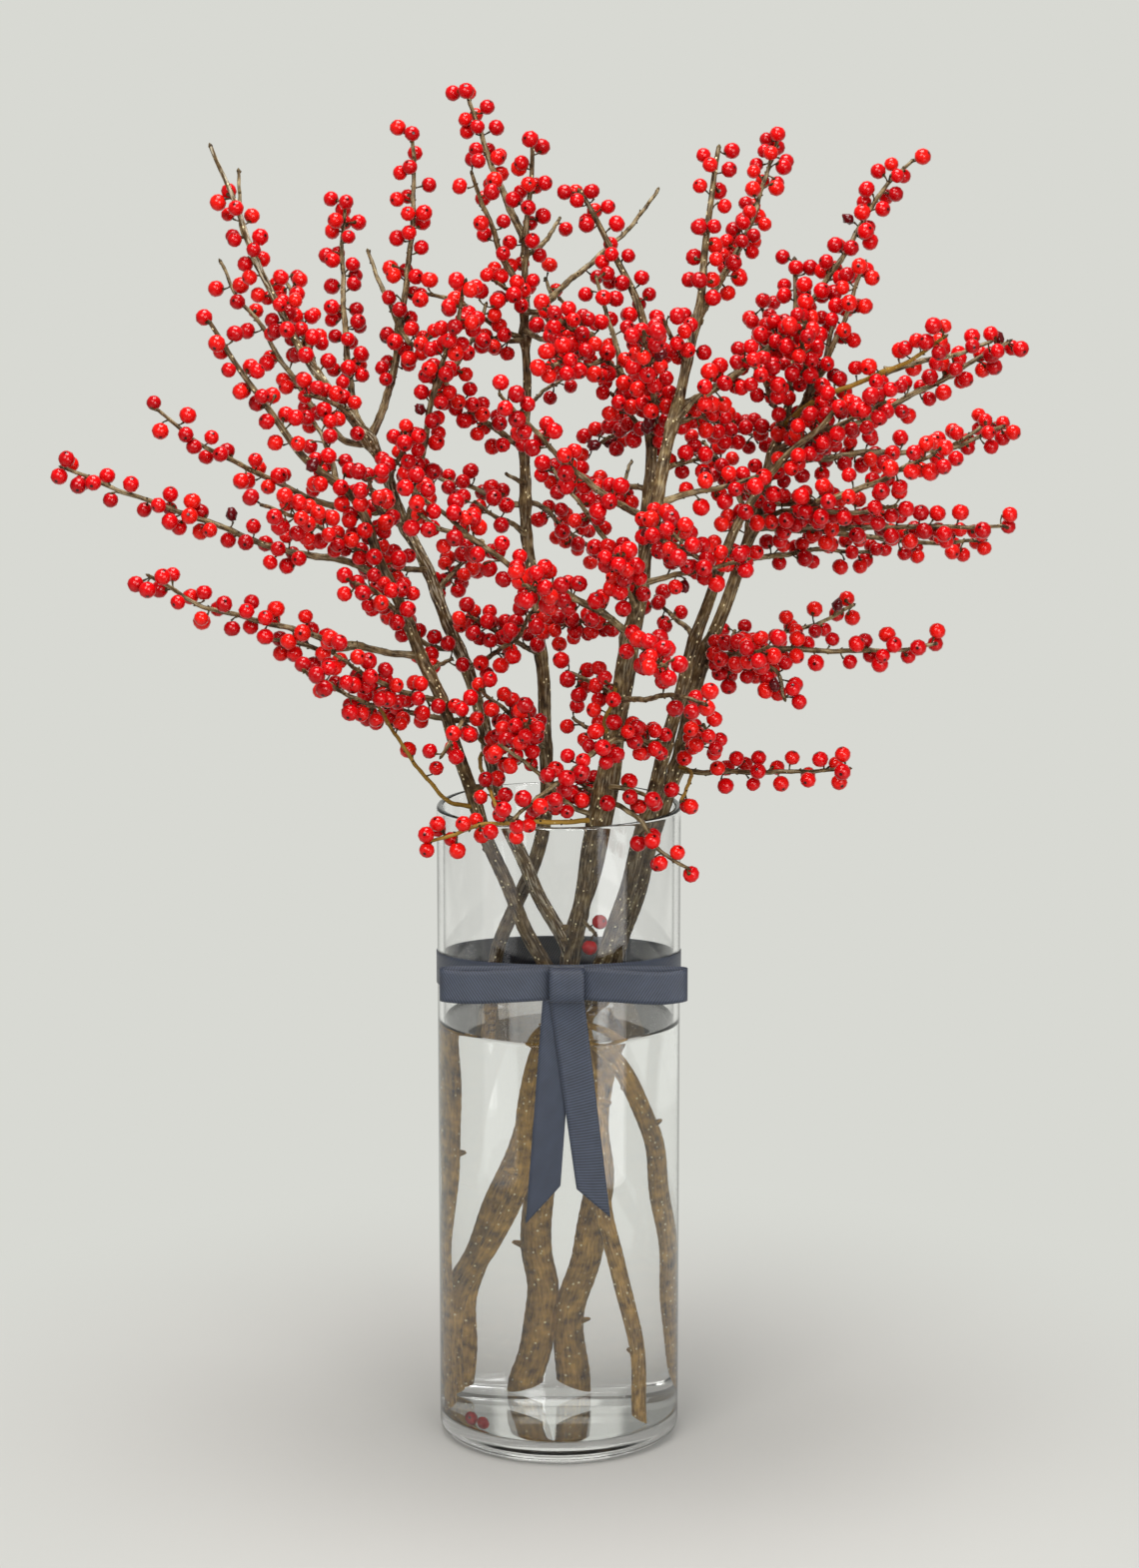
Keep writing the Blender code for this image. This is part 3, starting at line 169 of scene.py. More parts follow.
SHOOTS = (
    Shoot("reach_left", "far_left", -60, (
        (-96, 541), (-130, 550), (-169, 557), (-202, 570), (-229, 580), (-265, 593), (-299, 607)), 2.6),
    Shoot("low_left", "far_left", -95, (
        (-84, 492), (-109, 495), (-140, 502), (-161, 508), (-188, 515), (-215, 522), (-248, 541)), 2.5),
    Shoot("low_left_fork", "low_left", -60, ((-122, 497), (-143, 495), (-158, 500), (-177, 502))),
    Shoot("mid_left", "far_left", -125, ((-74, 462), (-90, 468), (-110, 476), (-137, 493))),
    Shoot("under_left", "left", -150, ((-53, 452), (-72, 453), (-97, 459), (-119, 463), (-155, 483))),
    Shoot("droop_left", "far_left", -70, (
        (-51, 396), (-66, 401), (-81, 416), (-96, 437), (-105, 452), (-111, 462)), 1.6),
    Shoot("knuckle_left", "far_left", -100, ((-93, 510), (-104, 525), (-113, 532), (-124, 537))),
    Shoot("inner_left", "far_left", -20, ((-133, 601), (-138, 615), (-142, 625), (-151, 639))),
    Shoot("arm_left", "left", -50, (
        (-96, 579), (-124, 581), (-157, 591), (-172, 599), (-193, 609), (-223, 626), (-240, 641)), 2.6),
    Shoot("fore_left", "left", -150, ((-82, 544), (-103, 547), (-124, 558), (-145, 571), (-179, 584))),
    Shoot("long_left", "left", 60, (
        (-112, 621), (-129, 623), (-141, 636), (-165, 669), (-179, 693), (-193, 711), (-202, 730)), 2.5),
    Shoot("twin_left", "left", 60, ((-183, 730), (-189, 752), (-190, 784)), 1.8),
    Shoot("hid_left", "left", 100, ((-145, 667), (-153, 690), (-158, 708), (-164, 720))),
    Shoot("rod_left", "left", 110, (
        (-117, 625), (-123, 642), (-126, 666), (-129, 720), (-129, 743), (-127, 767)), 3.0),
    Shoot("spire_left", "left", 30, (
        (-113, 624), (-106, 641), (-101, 657), (-94, 699), (-90, 725), (-86, 779), (-87, 808)), 3.0),
    Shoot("spire_fork", "spire_left", 60, ((-95, 693), (-103, 709), (-114, 736))),
    Shoot("spire_side", "spire_left", -20, ((-94, 690), (-88, 681), (-77, 685))),
    Shoot("fork_left", "left", -70, (
        (-90, 570), (-86, 594), (-81, 621), (-76, 648), (-70, 669), (-62, 688), (-56, 718)), 3.0),
    Shoot("fork_left_side", "fork_left", 20, ((-73, 657), (-62, 669), (-53, 681), (-43, 705))),
    Shoot("nub_left", "left", 10, ((-72, 508), (-65, 513), (-57, 516))),
    Shoot("rise_mid", "left", -60, ((-56, 483), (-45, 490), (-35, 496), (-23, 506), (-17, 519))),
    Shoot("hook_left", "left", 10, ((-68, 493), (-78, 498), (-89, 506), (-98, 519))),
    Shoot("gold_left", "left", -80, ((-42, 436), (-48, 429), (-44, 413), (-38, 398)), 1.5),
    Shoot("tuft_left", "left", -110, ((-35, 430), (-30, 437), (-24, 445), (-17, 452))),
    Shoot("cross_left", "left", 110, ((-74, 531), (-66, 541), (-59, 548), (-49, 555))),
    Shoot("link_left", "far_left", 10, ((-78, 483), (-72, 487), (-65, 490))),
    Shoot("crown_mid", "middle", 90, (
        (-20, 743), (-26, 756), (-34, 773), (-41, 791), (-45, 802), (-55, 833)), 2.8),
    Shoot("crown_left", "middle", 0, ((-22, 708), (-28, 723), (-35, 737), (-41, 754), (-52, 782)), 2.6),
    Shoot("crown_hook", "middle", 110, ((-17, 733), (-8, 742), (-3, 750), (1, 756))),
    Shoot("quill_left", "middle", 0, ((-25, 685), (-35, 690), (-44, 696), (-59, 706), (-82, 712))),
    Shoot("stub_high", "middle", 10, ((-23, 704), (-31, 714), (-37, 718))),
    Shoot("stub_mid", "middle", 20, ((-25, 683), (-32, 683), (-40, 685))),
    Shoot("stub_right", "middle", 10, ((-19, 700), (-11, 700), (-4, 689))),
    Shoot("sweep_right", "middle", 150, (
        (-19, 687), (-8, 705), (13, 724), (28, 737), (40, 748), (52, 762), (59, 773)), 2.6),
    Shoot("sweep_nub", "sweep_right", 90, ((-4, 709), (-6, 715), (-8, 720)), 1.5),
    Shoot("bare_right", "middle", 120, ((-19, 644), (-10, 652), (2, 660)), 1.6),
    Shoot("arm_mid", "middle", -20, ((-23, 619), (-35, 628), (-46, 636), (-64, 653), (-71, 663)), 2.6),
    Shoot("arm_mid_low", "middle", 80, ((-25, 584), (-35, 586), (-55, 596), (-68, 599), (-80, 603))),
    Shoot("spur_mid", "middle", 30, ((-20, 596), (-26, 600), (-31, 603))),
    Shoot("back_right", "middle", 150, ((-17, 586), (-8, 582), (1, 572), (10, 565), (20, 558))),
    Shoot("hang_mid", "middle", -30, ((-13, 493), (-29, 502), (-42, 509), (-53, 516))),
    Shoot("low_mid", "middle", -50, ((-8, 434), (-17, 445), (-30, 456), (-48, 471))),
    Shoot("long_mid", "right", -170, (
        (55, 574), (34, 586), (22, 595), (8, 606), (-5, 619), (-17, 632), (-35, 650)), 2.6),
    Shoot("span_mid", "right", -150, (
        (44, 503), (25, 519), (7, 529), (-29, 547), (-47, 560), (-65, 575), (-92, 596)), 2.6),
    Shoot("slant_mid", "right", -40, ((47, 525), (31, 560), (19, 576), (7, 593), (-4, 606))),
    Shoot("loop_mid", "right", 10, ((44, 502), (32, 515), (16, 514), (1, 510), (-7, 504))),
    Shoot("near_mid", "span_mid", -190, ((1, 531), (-8, 532), (-21, 535))),
    Shoot("twig_low", "right", -40, ((38, 465), (25, 473), (14, 479), (5, 482))),
    Shoot("gold_low", "right", -100, ((35, 442), (29, 446), (32, 462), (35, 474)), 1.6),
    Shoot("tuft_low", "right", -10, ((35, 442), (25, 445), (17, 448), (9, 453))),
    Shoot("tuft_rim", "right", 0, ((26, 407), (19, 409), (11, 414))),
    Shoot("rim_left", "right", -84, (
        (21, 390), (5, 389), (-24, 388), (-48, 387), (-63, 381), (-79, 377)), 1.8, 0.35),
    Shoot("rim_long", "right", -100, (
        (22, 392), (10, 397), (-1, 407), (-11, 417), (-24, 429), (-36, 436)), 1.8),
    Shoot("rim_right", "right", -92, ((28, 402), (41, 397), (51, 389), (59, 374), (79, 360)), 2.0, 0.6),
    Shoot("in_vase", "right", -54, ((13, 330), (17, 325), (22, 318)), 1.4),
    Shoot("side_short", "right", -60, ((67, 606), (76, 610), (85, 613))),
    Shoot("side_mid", "right", -100, ((59, 585), (79, 591), (94, 594), (119, 601)), 2.6),
    Shoot("side_low", "right", -120, ((52, 537), (74, 542), (89, 545), (115, 551))),
    Shoot("fist_low", "right", -190, ((40, 465), (59, 466), (69, 468), (80, 465), (90, 462))),
    Shoot("fist_near", "right", -230, ((45, 502), (53, 496), (59, 490), (65, 485))),
    Shoot("fist_high", "right", -190, ((55, 569), (58, 574), (65, 570), (74, 562))),
    Shoot("back_up", "right", 40, ((68, 631), (85, 638), (100, 632), (118, 626))),
    Shoot("side_arch", "right", 60, (
        (73, 642), (85, 649), (103, 661), (136, 689), (156, 713), (178, 747), (189, 767), (210, 790)), 3.2),
    Shoot("side_rise", "right", 120, (
        (83, 696), (98, 721), (105, 733), (111, 744), (116, 756), (121, 773), (130, 801)), 2.8),
    Shoot("side_tip", "right", -90, ((78, 672), (70, 681), (64, 694))),
    Shoot("cross_high", "behind", -60, (
        (58, 639), (46, 654), (32, 668), (25, 678), (8, 700), (1, 708)), 2.8),
    Shoot("cross_nub", "cross_high", 20, ((38, 663), (35, 681), (29, 697), (23, 721))),
    Shoot("cross_side", "cross_high", -80, ((19, 685), (4, 693), (-8, 702))),
    Shoot("near_high", "behind", -150, ((58, 629), (58, 648), (55, 666), (51, 688)), 2.8),
    Shoot("dark_mid", "behind", 90, ((57, 636), (40, 629), (29, 624), (20, 619))),
    Shoot("thin_mid", "behind", 100, ((55, 594), (46, 595), (25, 594), (10, 600), (-1, 603))),
    Shoot("bare_mid", "thin_mid", 90, ((37, 594), (41, 603), (44, 610)), 1.5),
    Shoot("tuft_high", "behind", -40, ((58, 624), (49, 632), (40, 642), (32, 651))),
    Shoot("droop_mid", "near_right", -170, (
        (66, 436), (50, 439), (34, 440), (19, 430), (1, 414), (-14, 403), (-29, 390)), 2.4, 0.5),
    Shoot("tuft_front", "right", -90, ((31, 410), (44, 409), (53, 405), (58, 400))),
    Shoot("back_twig", "near_right", 60, ((84, 502), (77, 510), (66, 519), (59, 528))),
    Shoot("near_twig", "near_right", -130, ((99, 547), (86, 551), (74, 558), (63, 563))),
    Shoot("fork_low", "far_right", -70, ((87, 487), (107, 483), (119, 487), (132, 483), (138, 465))),
    Shoot("fork_low_near", "far_right", -110, ((89, 491), (104, 493), (117, 493), (127, 497))),
    Shoot("ray_low", "far_right", -30, (
        (90, 497), (116, 497), (141, 496), (165, 495), (189, 495), (211, 496), (228, 499)), 2.4),
    Shoot("ray_low_up", "far_right", 70, ((90, 497), (113, 499), (135, 506), (153, 510), (179, 523))),
    Shoot("stalk_low", "far_right", 20, ((93, 499), (101, 500), (107, 507)), 1.4),
    Shoot("ray_rim", "far_right", -60, ((71, 422), (86, 420), (111, 420), (141, 420), (178, 422))),
    Shoot("gold_right", "far_right", -60, ((71, 423), (81, 419), (78, 409), (75, 402)), 1.5),
    Shoot("tuft_right", "far_right", -70, ((75, 437), (84, 434), (90, 440), (89, 449))),
    Shoot("ray_mid_low", "far_right", 60, ((111, 551), (137, 554), (158, 557), (176, 556), (191, 555))),
    Shoot("ray_mid_back", "far_right", 110, (
        (117, 570), (146, 569), (170, 567), (194, 564), (228, 561), (258, 563)), 2.4),
    Shoot("ray_mid", "far_right", -50, (
        (117, 573), (140, 571), (170, 570), (206, 571), (237, 571), (269, 571)), 2.4),
    Shoot("ray_gold", "far_right", -100, ((119, 576), (143, 581), (170, 580), (188, 580), (203, 584))),
    Shoot("fist_right", "far_right", -150, (
        (121, 585), (146, 586), (167, 589), (188, 596), (209, 607), (226, 615)), 3.0),
    Shoot("ray_high", "far_right", 50, (
        (126, 601), (139, 609), (164, 613), (188, 616), (209, 616), (233, 618), (251, 624), (267, 632)), 2.8),
    Shoot("ray_high_fork", "ray_high", 70, ((236, 618), (251, 629), (260, 636)), 1.6),
    Shoot("ray_top", "far_right", -20, (
        (129, 612), (145, 619), (166, 628), (187, 636), (208, 648), (229, 659), (270, 683)), 2.8),
    Shoot("ray_top_near", "far_right", -80, ((135, 631), (151, 645), (190, 662), (214, 673), (232, 686))),
    Shoot("ray_top_fork", "ray_top_near", -40, ((196, 665), (220, 671), (238, 675), (259, 682))),
    Shoot("rise_right", "far_right", -40, (
        (136, 632), (145, 641), (154, 657), (169, 690), (175, 706), (183, 730)), 2.6),
    Shoot("rise_fork", "rise_right", 0, ((158, 669), (164, 690), (167, 708))),
    Shoot("rise_back", "far_right", 110, ((139, 666), (130, 684), (124, 696), (121, 706))),
    Shoot("lean_back", "far_right", 80, ((117, 573), (109, 588), (100, 606), (88, 622))),
    Shoot("tuft_fork", "far_right", -90, ((136, 632), (127, 651), (120, 665), (111, 672))),
    Shoot("spray_crown", "middle", -60, ((-21, 690), (-10, 684), (4, 680), (16, 676))),
    Shoot("spray_cross", "cross_high", -110, ((28, 672), (18, 668), (6, 672), (-4, 668))),
    Shoot("spray_left", "left", -40, ((-108, 596), (-100, 606), (-94, 617), (-92, 628))),
    Shoot("spray_high", "left", -30, ((-118, 628), (-128, 640), (-140, 648), (-152, 650))),
    Shoot("spray_inner", "left", -110, ((-96, 570), (-104, 576), (-112, 588), (-114, 600))),
    Shoot("spray_back", "middle", -10, ((-20, 566), (-30, 574), (-40, 578), (-50, 586))),
    Shoot("spray_span", "span_mid", -150, ((-47, 560), (-58, 566), (-72, 570), (-84, 578))),
    Shoot("spray_near", "right", -160, ((46, 522), (42, 532), (40, 542), (36, 554))),
    Shoot("spray_right", "right", -90, ((68, 632), (76, 640), (84, 650), (92, 656))),
    Shoot("spray_rise", "rise_right", -70, ((150, 650), (150, 664), (146, 680), (148, 694))),
    Shoot("spray_low", "left", -70, ((-42, 436), (-54, 446), (-64, 442), (-72, 430))),
    Shoot("spray_ray", "far_right", -110, ((132, 616), (150, 626), (172, 634), (196, 646))),
)

BARE = Fruiting(1.0, 1.0, 0.0)
FEW = Fruiting(0.45, 1.0, 0.7)
DENSE = Fruiting(0.1, 1.0, 3.0)

# Limbs that bear otherwise than the plain Fruiting().
FRUITING: dict[str, Fruiting] = {
    "bare_mid": BARE,
    "spur_mid": BARE,
    "spire_fork": BARE,
    "bare_right": Fruiting(0.6, 1.0, 1.5),
    "stub_right": Fruiting(0.4, 1.0, 2.0),
    "twin_left": Fruiting(0.1, 0.5, 0.6),
    "long_left": Fruiting(0.2, 0.93, 1.4),
    "crown_left": Fruiting(0.2, 1.0, 1.0),
    "fist_low": FEW,
    "spray_back": FEW,
    "spray_inner": Fruiting(0.3, 1.0, 1.3),
    "spray_crown": Fruiting(0.45, 1.0, 3.0),
    "arm_left": Fruiting(0.2, 1.0, 1.7),
    "droop_left": Fruiting(0.35, 1.0, 0.5),
    "gold_left": FEW,
    "gold_right": FEW,
    "gold_low": FEW,
    "back_twig": FEW,
    "quill_left": FEW,
    "under_left": Fruiting(0.2, 1.0, 1.5),
    "spray_low": Fruiting(0.3, 1.0, 2.4),
    "tuft_low": FEW,
    "stalk_low": Fruiting(0.8, 1.0, 1.0),
    "in_vase": Fruiting(0.5, 1.0, 1.0),
    "link_left": FEW,
    "nub_left": Fruiting(0.5, 1.0, 1.0),
    "sweep_right": Fruiting(0.1, 0.5, 0.4),
    "sweep_nub": FEW,
    "crown_hook": FEW,
    "cross_nub": Fruiting(0.1, 1.0, 1.2),
    "rim_left": Fruiting(0.3, 1.0, 3.6),
    "low_left": Fruiting(0.3, 1.0, 2.3),
    "cross_high": Fruiting(0.05, 0.8, 3.0),
    **{
        name: DENSE for name in (
            "fist_high", "fist_right", "near_high", "near_mid", "cross_side", "ray_mid", "ray_gold",
            "ray_high", "ray_top", "ray_top_near", "rise_right", "rise_fork", "side_arch", "droop_mid",
            "slant_mid", "arm_mid_low", "fork_left", "inner_left", "span_mid", "back_up", "rim_long",
            "rim_right", "fork_low", "low_mid", "tuft_high", "spray_cross", "spray_left", "spray_high",
            "spray_span", "spray_near", "spray_right", "spray_rise", "spray_ray", "arm_mid", "side_mid",
            "ray_mid_back", "mid_left", "fork_low_near", "near_twig", "fore_left",
        )
    },
}

# Stems that are slimmer than the rest, as a share of the usual girth.
SLIM = {"left": 0.84, "far_left": 0.86, "middle": 0.86}

# Stems that are slimmer at the foot, as a share of the girth they would have there.
SLIM_FEET = {"right": 0.68, "near_right": 0.75, "left": 0.92, "far_left": 0.92}

# Pointed stubs of lost shoots: stem, height, turn in degrees from the right towards the camera, length.
SPURS = (
    ("far_left", 412, 10, 6.0), ("left", 318, 20, 4.0), ("right", 318, 165, 5.5),
    ("right", 170, 170, 6.5), ("left", 214, 20, 4.5), ("far_left", 221, 200, 4.0),
    ("far_left", 198, 5, 4.0), ("middle", 176, 15, 4.0), ("behind", 112, 185, 4.5),
    ("near_right", 90, 190, 3.5), ("left", 60, 190, 3.5), ("far_right", 60, 10, 4.0),
    ("middle", 338, 20, 5.0), ("far_left", 372, 170, 3.0), ("far_right", 445, 15, 5.0),
    ("right", 372, 20, 4.0),
)

# Limbs with young golden bark, and the stem whose bark is a pale streaky grey.
GOLDEN_LIMBS = ("gold_left", "gold_right", "gold_low", "droop_left", "rim_left", "ray_top_near")
PALE_STEM = "left"


def colour(code: str) -> tuple[float, float, float, float]:
    """Turn an sRGB hex code into a linear colour.

    Args:
        code: Six hex digits.

    Returns:
        Linear red, green and blue, and an alpha of 1.
    """
    channels = [int(code[at:at + 2], 16) / 255.0 for at in (0, 2, 4)]
    linear = [c / 12.92 if c <= 0.04045 else ((c + 0.055) / 1.055) ** 2.4 for c in channels]
    return (*linear, 1.0)


def socket_named(sockets: Any, identifier: str) -> Any:
    """Find a socket by its identifier, which stays unique where names repeat."""
    return next(socket for socket in sockets if socket.identifier == identifier)


def add_node(
    tree: bpy.types.NodeTree,
    kind: str,
    inputs: dict[str, Any] | None = None,
    stops: Sequence[tuple[float, str]] = (),
    **settings: Any,
) -> bpy.types.Node:
    """Add a node with its settings, its input values or incoming links, and its colour stops.

    Args:
        tree: The node tree that gets the node.
        kind: The node's type, such as ShaderNodeMath.
        inputs: For each input socket's identifier, a plain value, a hex colour, an output socket, or a
            node, which stands for the first of its outputs that is in use.
        stops: Positions and hex colours, for a node that holds a colour ramp.
        settings: The node's own properties.

    Returns:
        The new node.
    """
    node = tree.nodes.new(kind)
    for name, value in settings.items():
        setattr(node, name, value)
    if stops:
        ramp = node.color_ramp.elements
        while len(ramp) < len(stops):
            ramp.new(1.0)
        for element, (position, code) in zip(ramp, stops):
            element.position = position
            element.color = colour(code)
    for identifier, value in (inputs or {}).items():
        socket = socket_named(node.inputs, identifier)
        if isinstance(value, bpy.types.Node):
            value = next(output for output in value.outputs if output.enabled)
        if isinstance(value, bpy.types.NodeSocket):
            tree.links.new(value, socket)
        else:
            socket.default_value = colour(value) if socket.type == "RGBA" else value
    return node


def write_attribute(mesh: bpy.types.Mesh, name: str, values: Any, kind: Kind = Kind.NUMBER) -> None:
    """Store one value for each point of a mesh.

    Args:
        mesh: The mesh that gets the attribute.
        name: The attribute's name.
        values: One number or vector for each point.
        kind: Whether the values are numbers or vectors.
    """
    attribute = mesh.attributes.new(name, kind.value, "POINT")
    channel = "value" if kind is Kind.NUMBER else "vector"
    attribute.data.foreach_set(channel, np.asarray(values, np.float32).ravel())


def placed(name: str, mesh: bpy.types.Mesh) -> bpy.types.Object:
    """Put a mesh into the scene as an object at the origin.

    Args:
        name: The object's name.
        mesh: Its mesh.

    Returns:
        The new object.
    """
    piece = bpy.data.objects.new(name, mesh)
    bpy.context.scene.collection.objects.link(piece)
    return piece


def from_builder(name: str, builder: bmesh.types.BMesh, finish: bpy.types.Material) -> bpy.types.Object:
    """Turn a bmesh in millimetres into a smooth object with one material.

    Args:
        name: The piece's name.
        builder: The bmesh, which is freed.
        finish: The piece's material.

    Returns:
        The new object, in metres, at the origin.
    """
    mesh = bpy.data.meshes.new(name)
    bmesh.ops.recalc_face_normals(builder, faces=builder.faces)
    bmesh.ops.transform(builder, matrix=Matrix.Scale(MM, 4), verts=builder.verts)
    for face in builder.faces:
        face.smooth = True
    builder.to_mesh(mesh)
    builder.free()
    mesh.materials.append(finish)
    return placed(name, mesh)


def turned(
    profile: Sequence[tuple[float, float]],
    sides: int,
    lift: Callable[[float, float, float], float] | None = None,
) -> bmesh.types.BMesh:
    """Turn a profile round the Z axis, closed at its points on the axis.

    Args:
        profile: (radius, height) points in millimetres, from one end on the axis to the other.
        sides: How many faces go round.
        lift: Extra height for a place, from its x, y and height.

    Returns:
        The turned body as a bmesh.
    """
    builder = bmesh.new()
    rings: list[list[bmesh.types.BMVert]] = []
    for radius, height in profile:
        if radius == 0.0:
            rings.append([builder.verts.new((0.0, 0.0, height))] * sides)
            continue
        ring = []
        for side in range(sides):
            angle = 2.0 * math.pi * side / sides
            x, y = radius * math.cos(angle), radius * math.sin(angle)
            ring.append(builder.verts.new((x, y, height + (lift(x, y, height) if lift else 0.0))))
        rings.append(ring)
    for low, high in zip(rings, rings[1:]):
        for side in range(sides):
            after = (side + 1) % sides
            corners = [low[side], low[after], high[after], high[side]]
            builder.faces.new(list(dict.fromkeys(corners)))
    return builder


def rounded(
    centre: tuple[float, float], radius: float, first: float, last: float, steps: int
) -> list[tuple[float, float]]:
    """Points of an arc in a profile, angles in degrees from the outward direction.

    Args:
        centre: The arc's centre, as radius and height.
        radius: The arc's own radius.
        first: The angle at which it starts.
        last: The angle at which it ends.
        steps: How many runs it is cut into.

    Returns:
        The arc's points in order.
    """
    points = []
    for step in range(steps + 1):
        angle = math.radians(first + (last - first) * step / steps)
        points.append((centre[0] + radius * math.cos(angle), centre[1] + radius * math.sin(angle)))
    return points


def real_place(points: np.ndarray) -> np.ndarray:
    """Slide drawn points (across, depth, up) along the line of sight to their real places.

    Args:
        points: Drawn points, one in each row.

    Returns:
        The real places, in millimetres.
    """
    points = np.asarray(points, float)
    share = (1.0 + points[:, 1] / -EYE[1])[:, None]
    return EYE + (points * (1.0, 0.0, 1.0) - EYE) * share


def drawn_place(point: tuple[float, float, float]) -> tuple[float, float, float]:
    """Give the drawn (across, depth, up) of a real point."""
    share = 1.0 + point[1] / -EYE[1]
    return ((point[0] - EYE[0]) / share + EYE[0], point[1], (point[2] - EYE[2]) / share + EYE[2])


def along(points: np.ndarray) -> np.ndarray:
    """Measure each point's distance from the first along the line."""
    return np.concatenate([[0.0], np.cumsum(np.linalg.norm(np.diff(points, axis=0), axis=1))])


def nearest_on(points: np.ndarray, target: Sequence[float]) -> np.ndarray:
    """Find the place on a drawn line that is nearest to an (across, up) point.

    Args:
        points: The drawn line.
        target: The (across, up) point.

    Returns:
        The place on the line, as across, depth and up.
    """
    best: tuple[float, np.ndarray] | None = None
    for a, b in zip(points, points[1:]):
        run = (b - a)[[0, 2]]
        share = float(np.clip(np.dot(np.array(target) - a[[0, 2]], run) / np.dot(run, run), 0.0, 1.0))
        place = a + (b - a) * share
        miss = float(np.hypot(place[0] - target[0], place[2] - target[1]))
        if best is None or miss < best[0]:
            best = (miss, place)
    return best[1]


def smoothed(points: np.ndarray, step: float) -> np.ndarray:
    """Run a smooth curve through points and cut it at even distances.

    Args:
        points: The points that the curve passes through, in millimetres.
        step: The distance between the places that are returned.

    Returns:
        Places along the curve, with its two ends.
    """
    far = along(points)
    lean = np.gradient(points, far, axis=0)
    count = max(int(far[-1] / step), 3)
    at = np.linspace(0.0, far[-1], count + 1)
    low = np.clip(np.searchsorted(far, at, "right") - 1, 0, len(far) - 2)
    run = (far[low + 1] - far[low])[:, None]
    share = (at - far[low])[:, None] / run
    square, cube = share**2, share**3
    return (
        (2 * cube - 3 * square + 1) * points[low]
        + (cube - 2 * square + share) * run * lean[low]
        + (3 * square - 2 * cube) * points[low + 1]
        + (cube - square) * run * lean[low + 1]
    )


@dataclass
class DrawnLine:
    """A stem or shoot as drawn: rows of (across, depth, up), a radius at each, and which points stay put."""

    name: str
    stem: str
    parent: str | None
    points: np.ndarray
    radii: np.ndarray
    fixed: np.ndarray


@dataclass
class Limb:
    """A smooth limb in space, in millimetres, from its root to its tip."""

    name: str
    stem: str
    parent: str | None
    points: np.ndarray
    radii: np.ndarray

    @property
    def far(self) -> np.ndarray:
        """Distances along the limb."""
        return along(self.points)

    @property
    def is_stem(self) -> bool:
        """Whether this is a main stem."""
        return self.parent is None

    def place(self, distance: float) -> tuple[np.ndarray, np.ndarray, float]:
        """Give a place on the limb.

        Args:
            distance: How far from the root, in millimetres.

        Returns:
            The place, the direction towards the tip, and the limb's radius there.
        """
        far = self.far
        spots = [
            np.array([np.interp(spot, far, self.points[:, axis]) for axis in range(3)])
            for spot in (distance - WAY_REACH, distance, distance + WAY_REACH)
        ]
        way = spots[2] - spots[0]
        return spots[1], way / np.linalg.norm(way), float(np.interp(distance, far, self.radii))


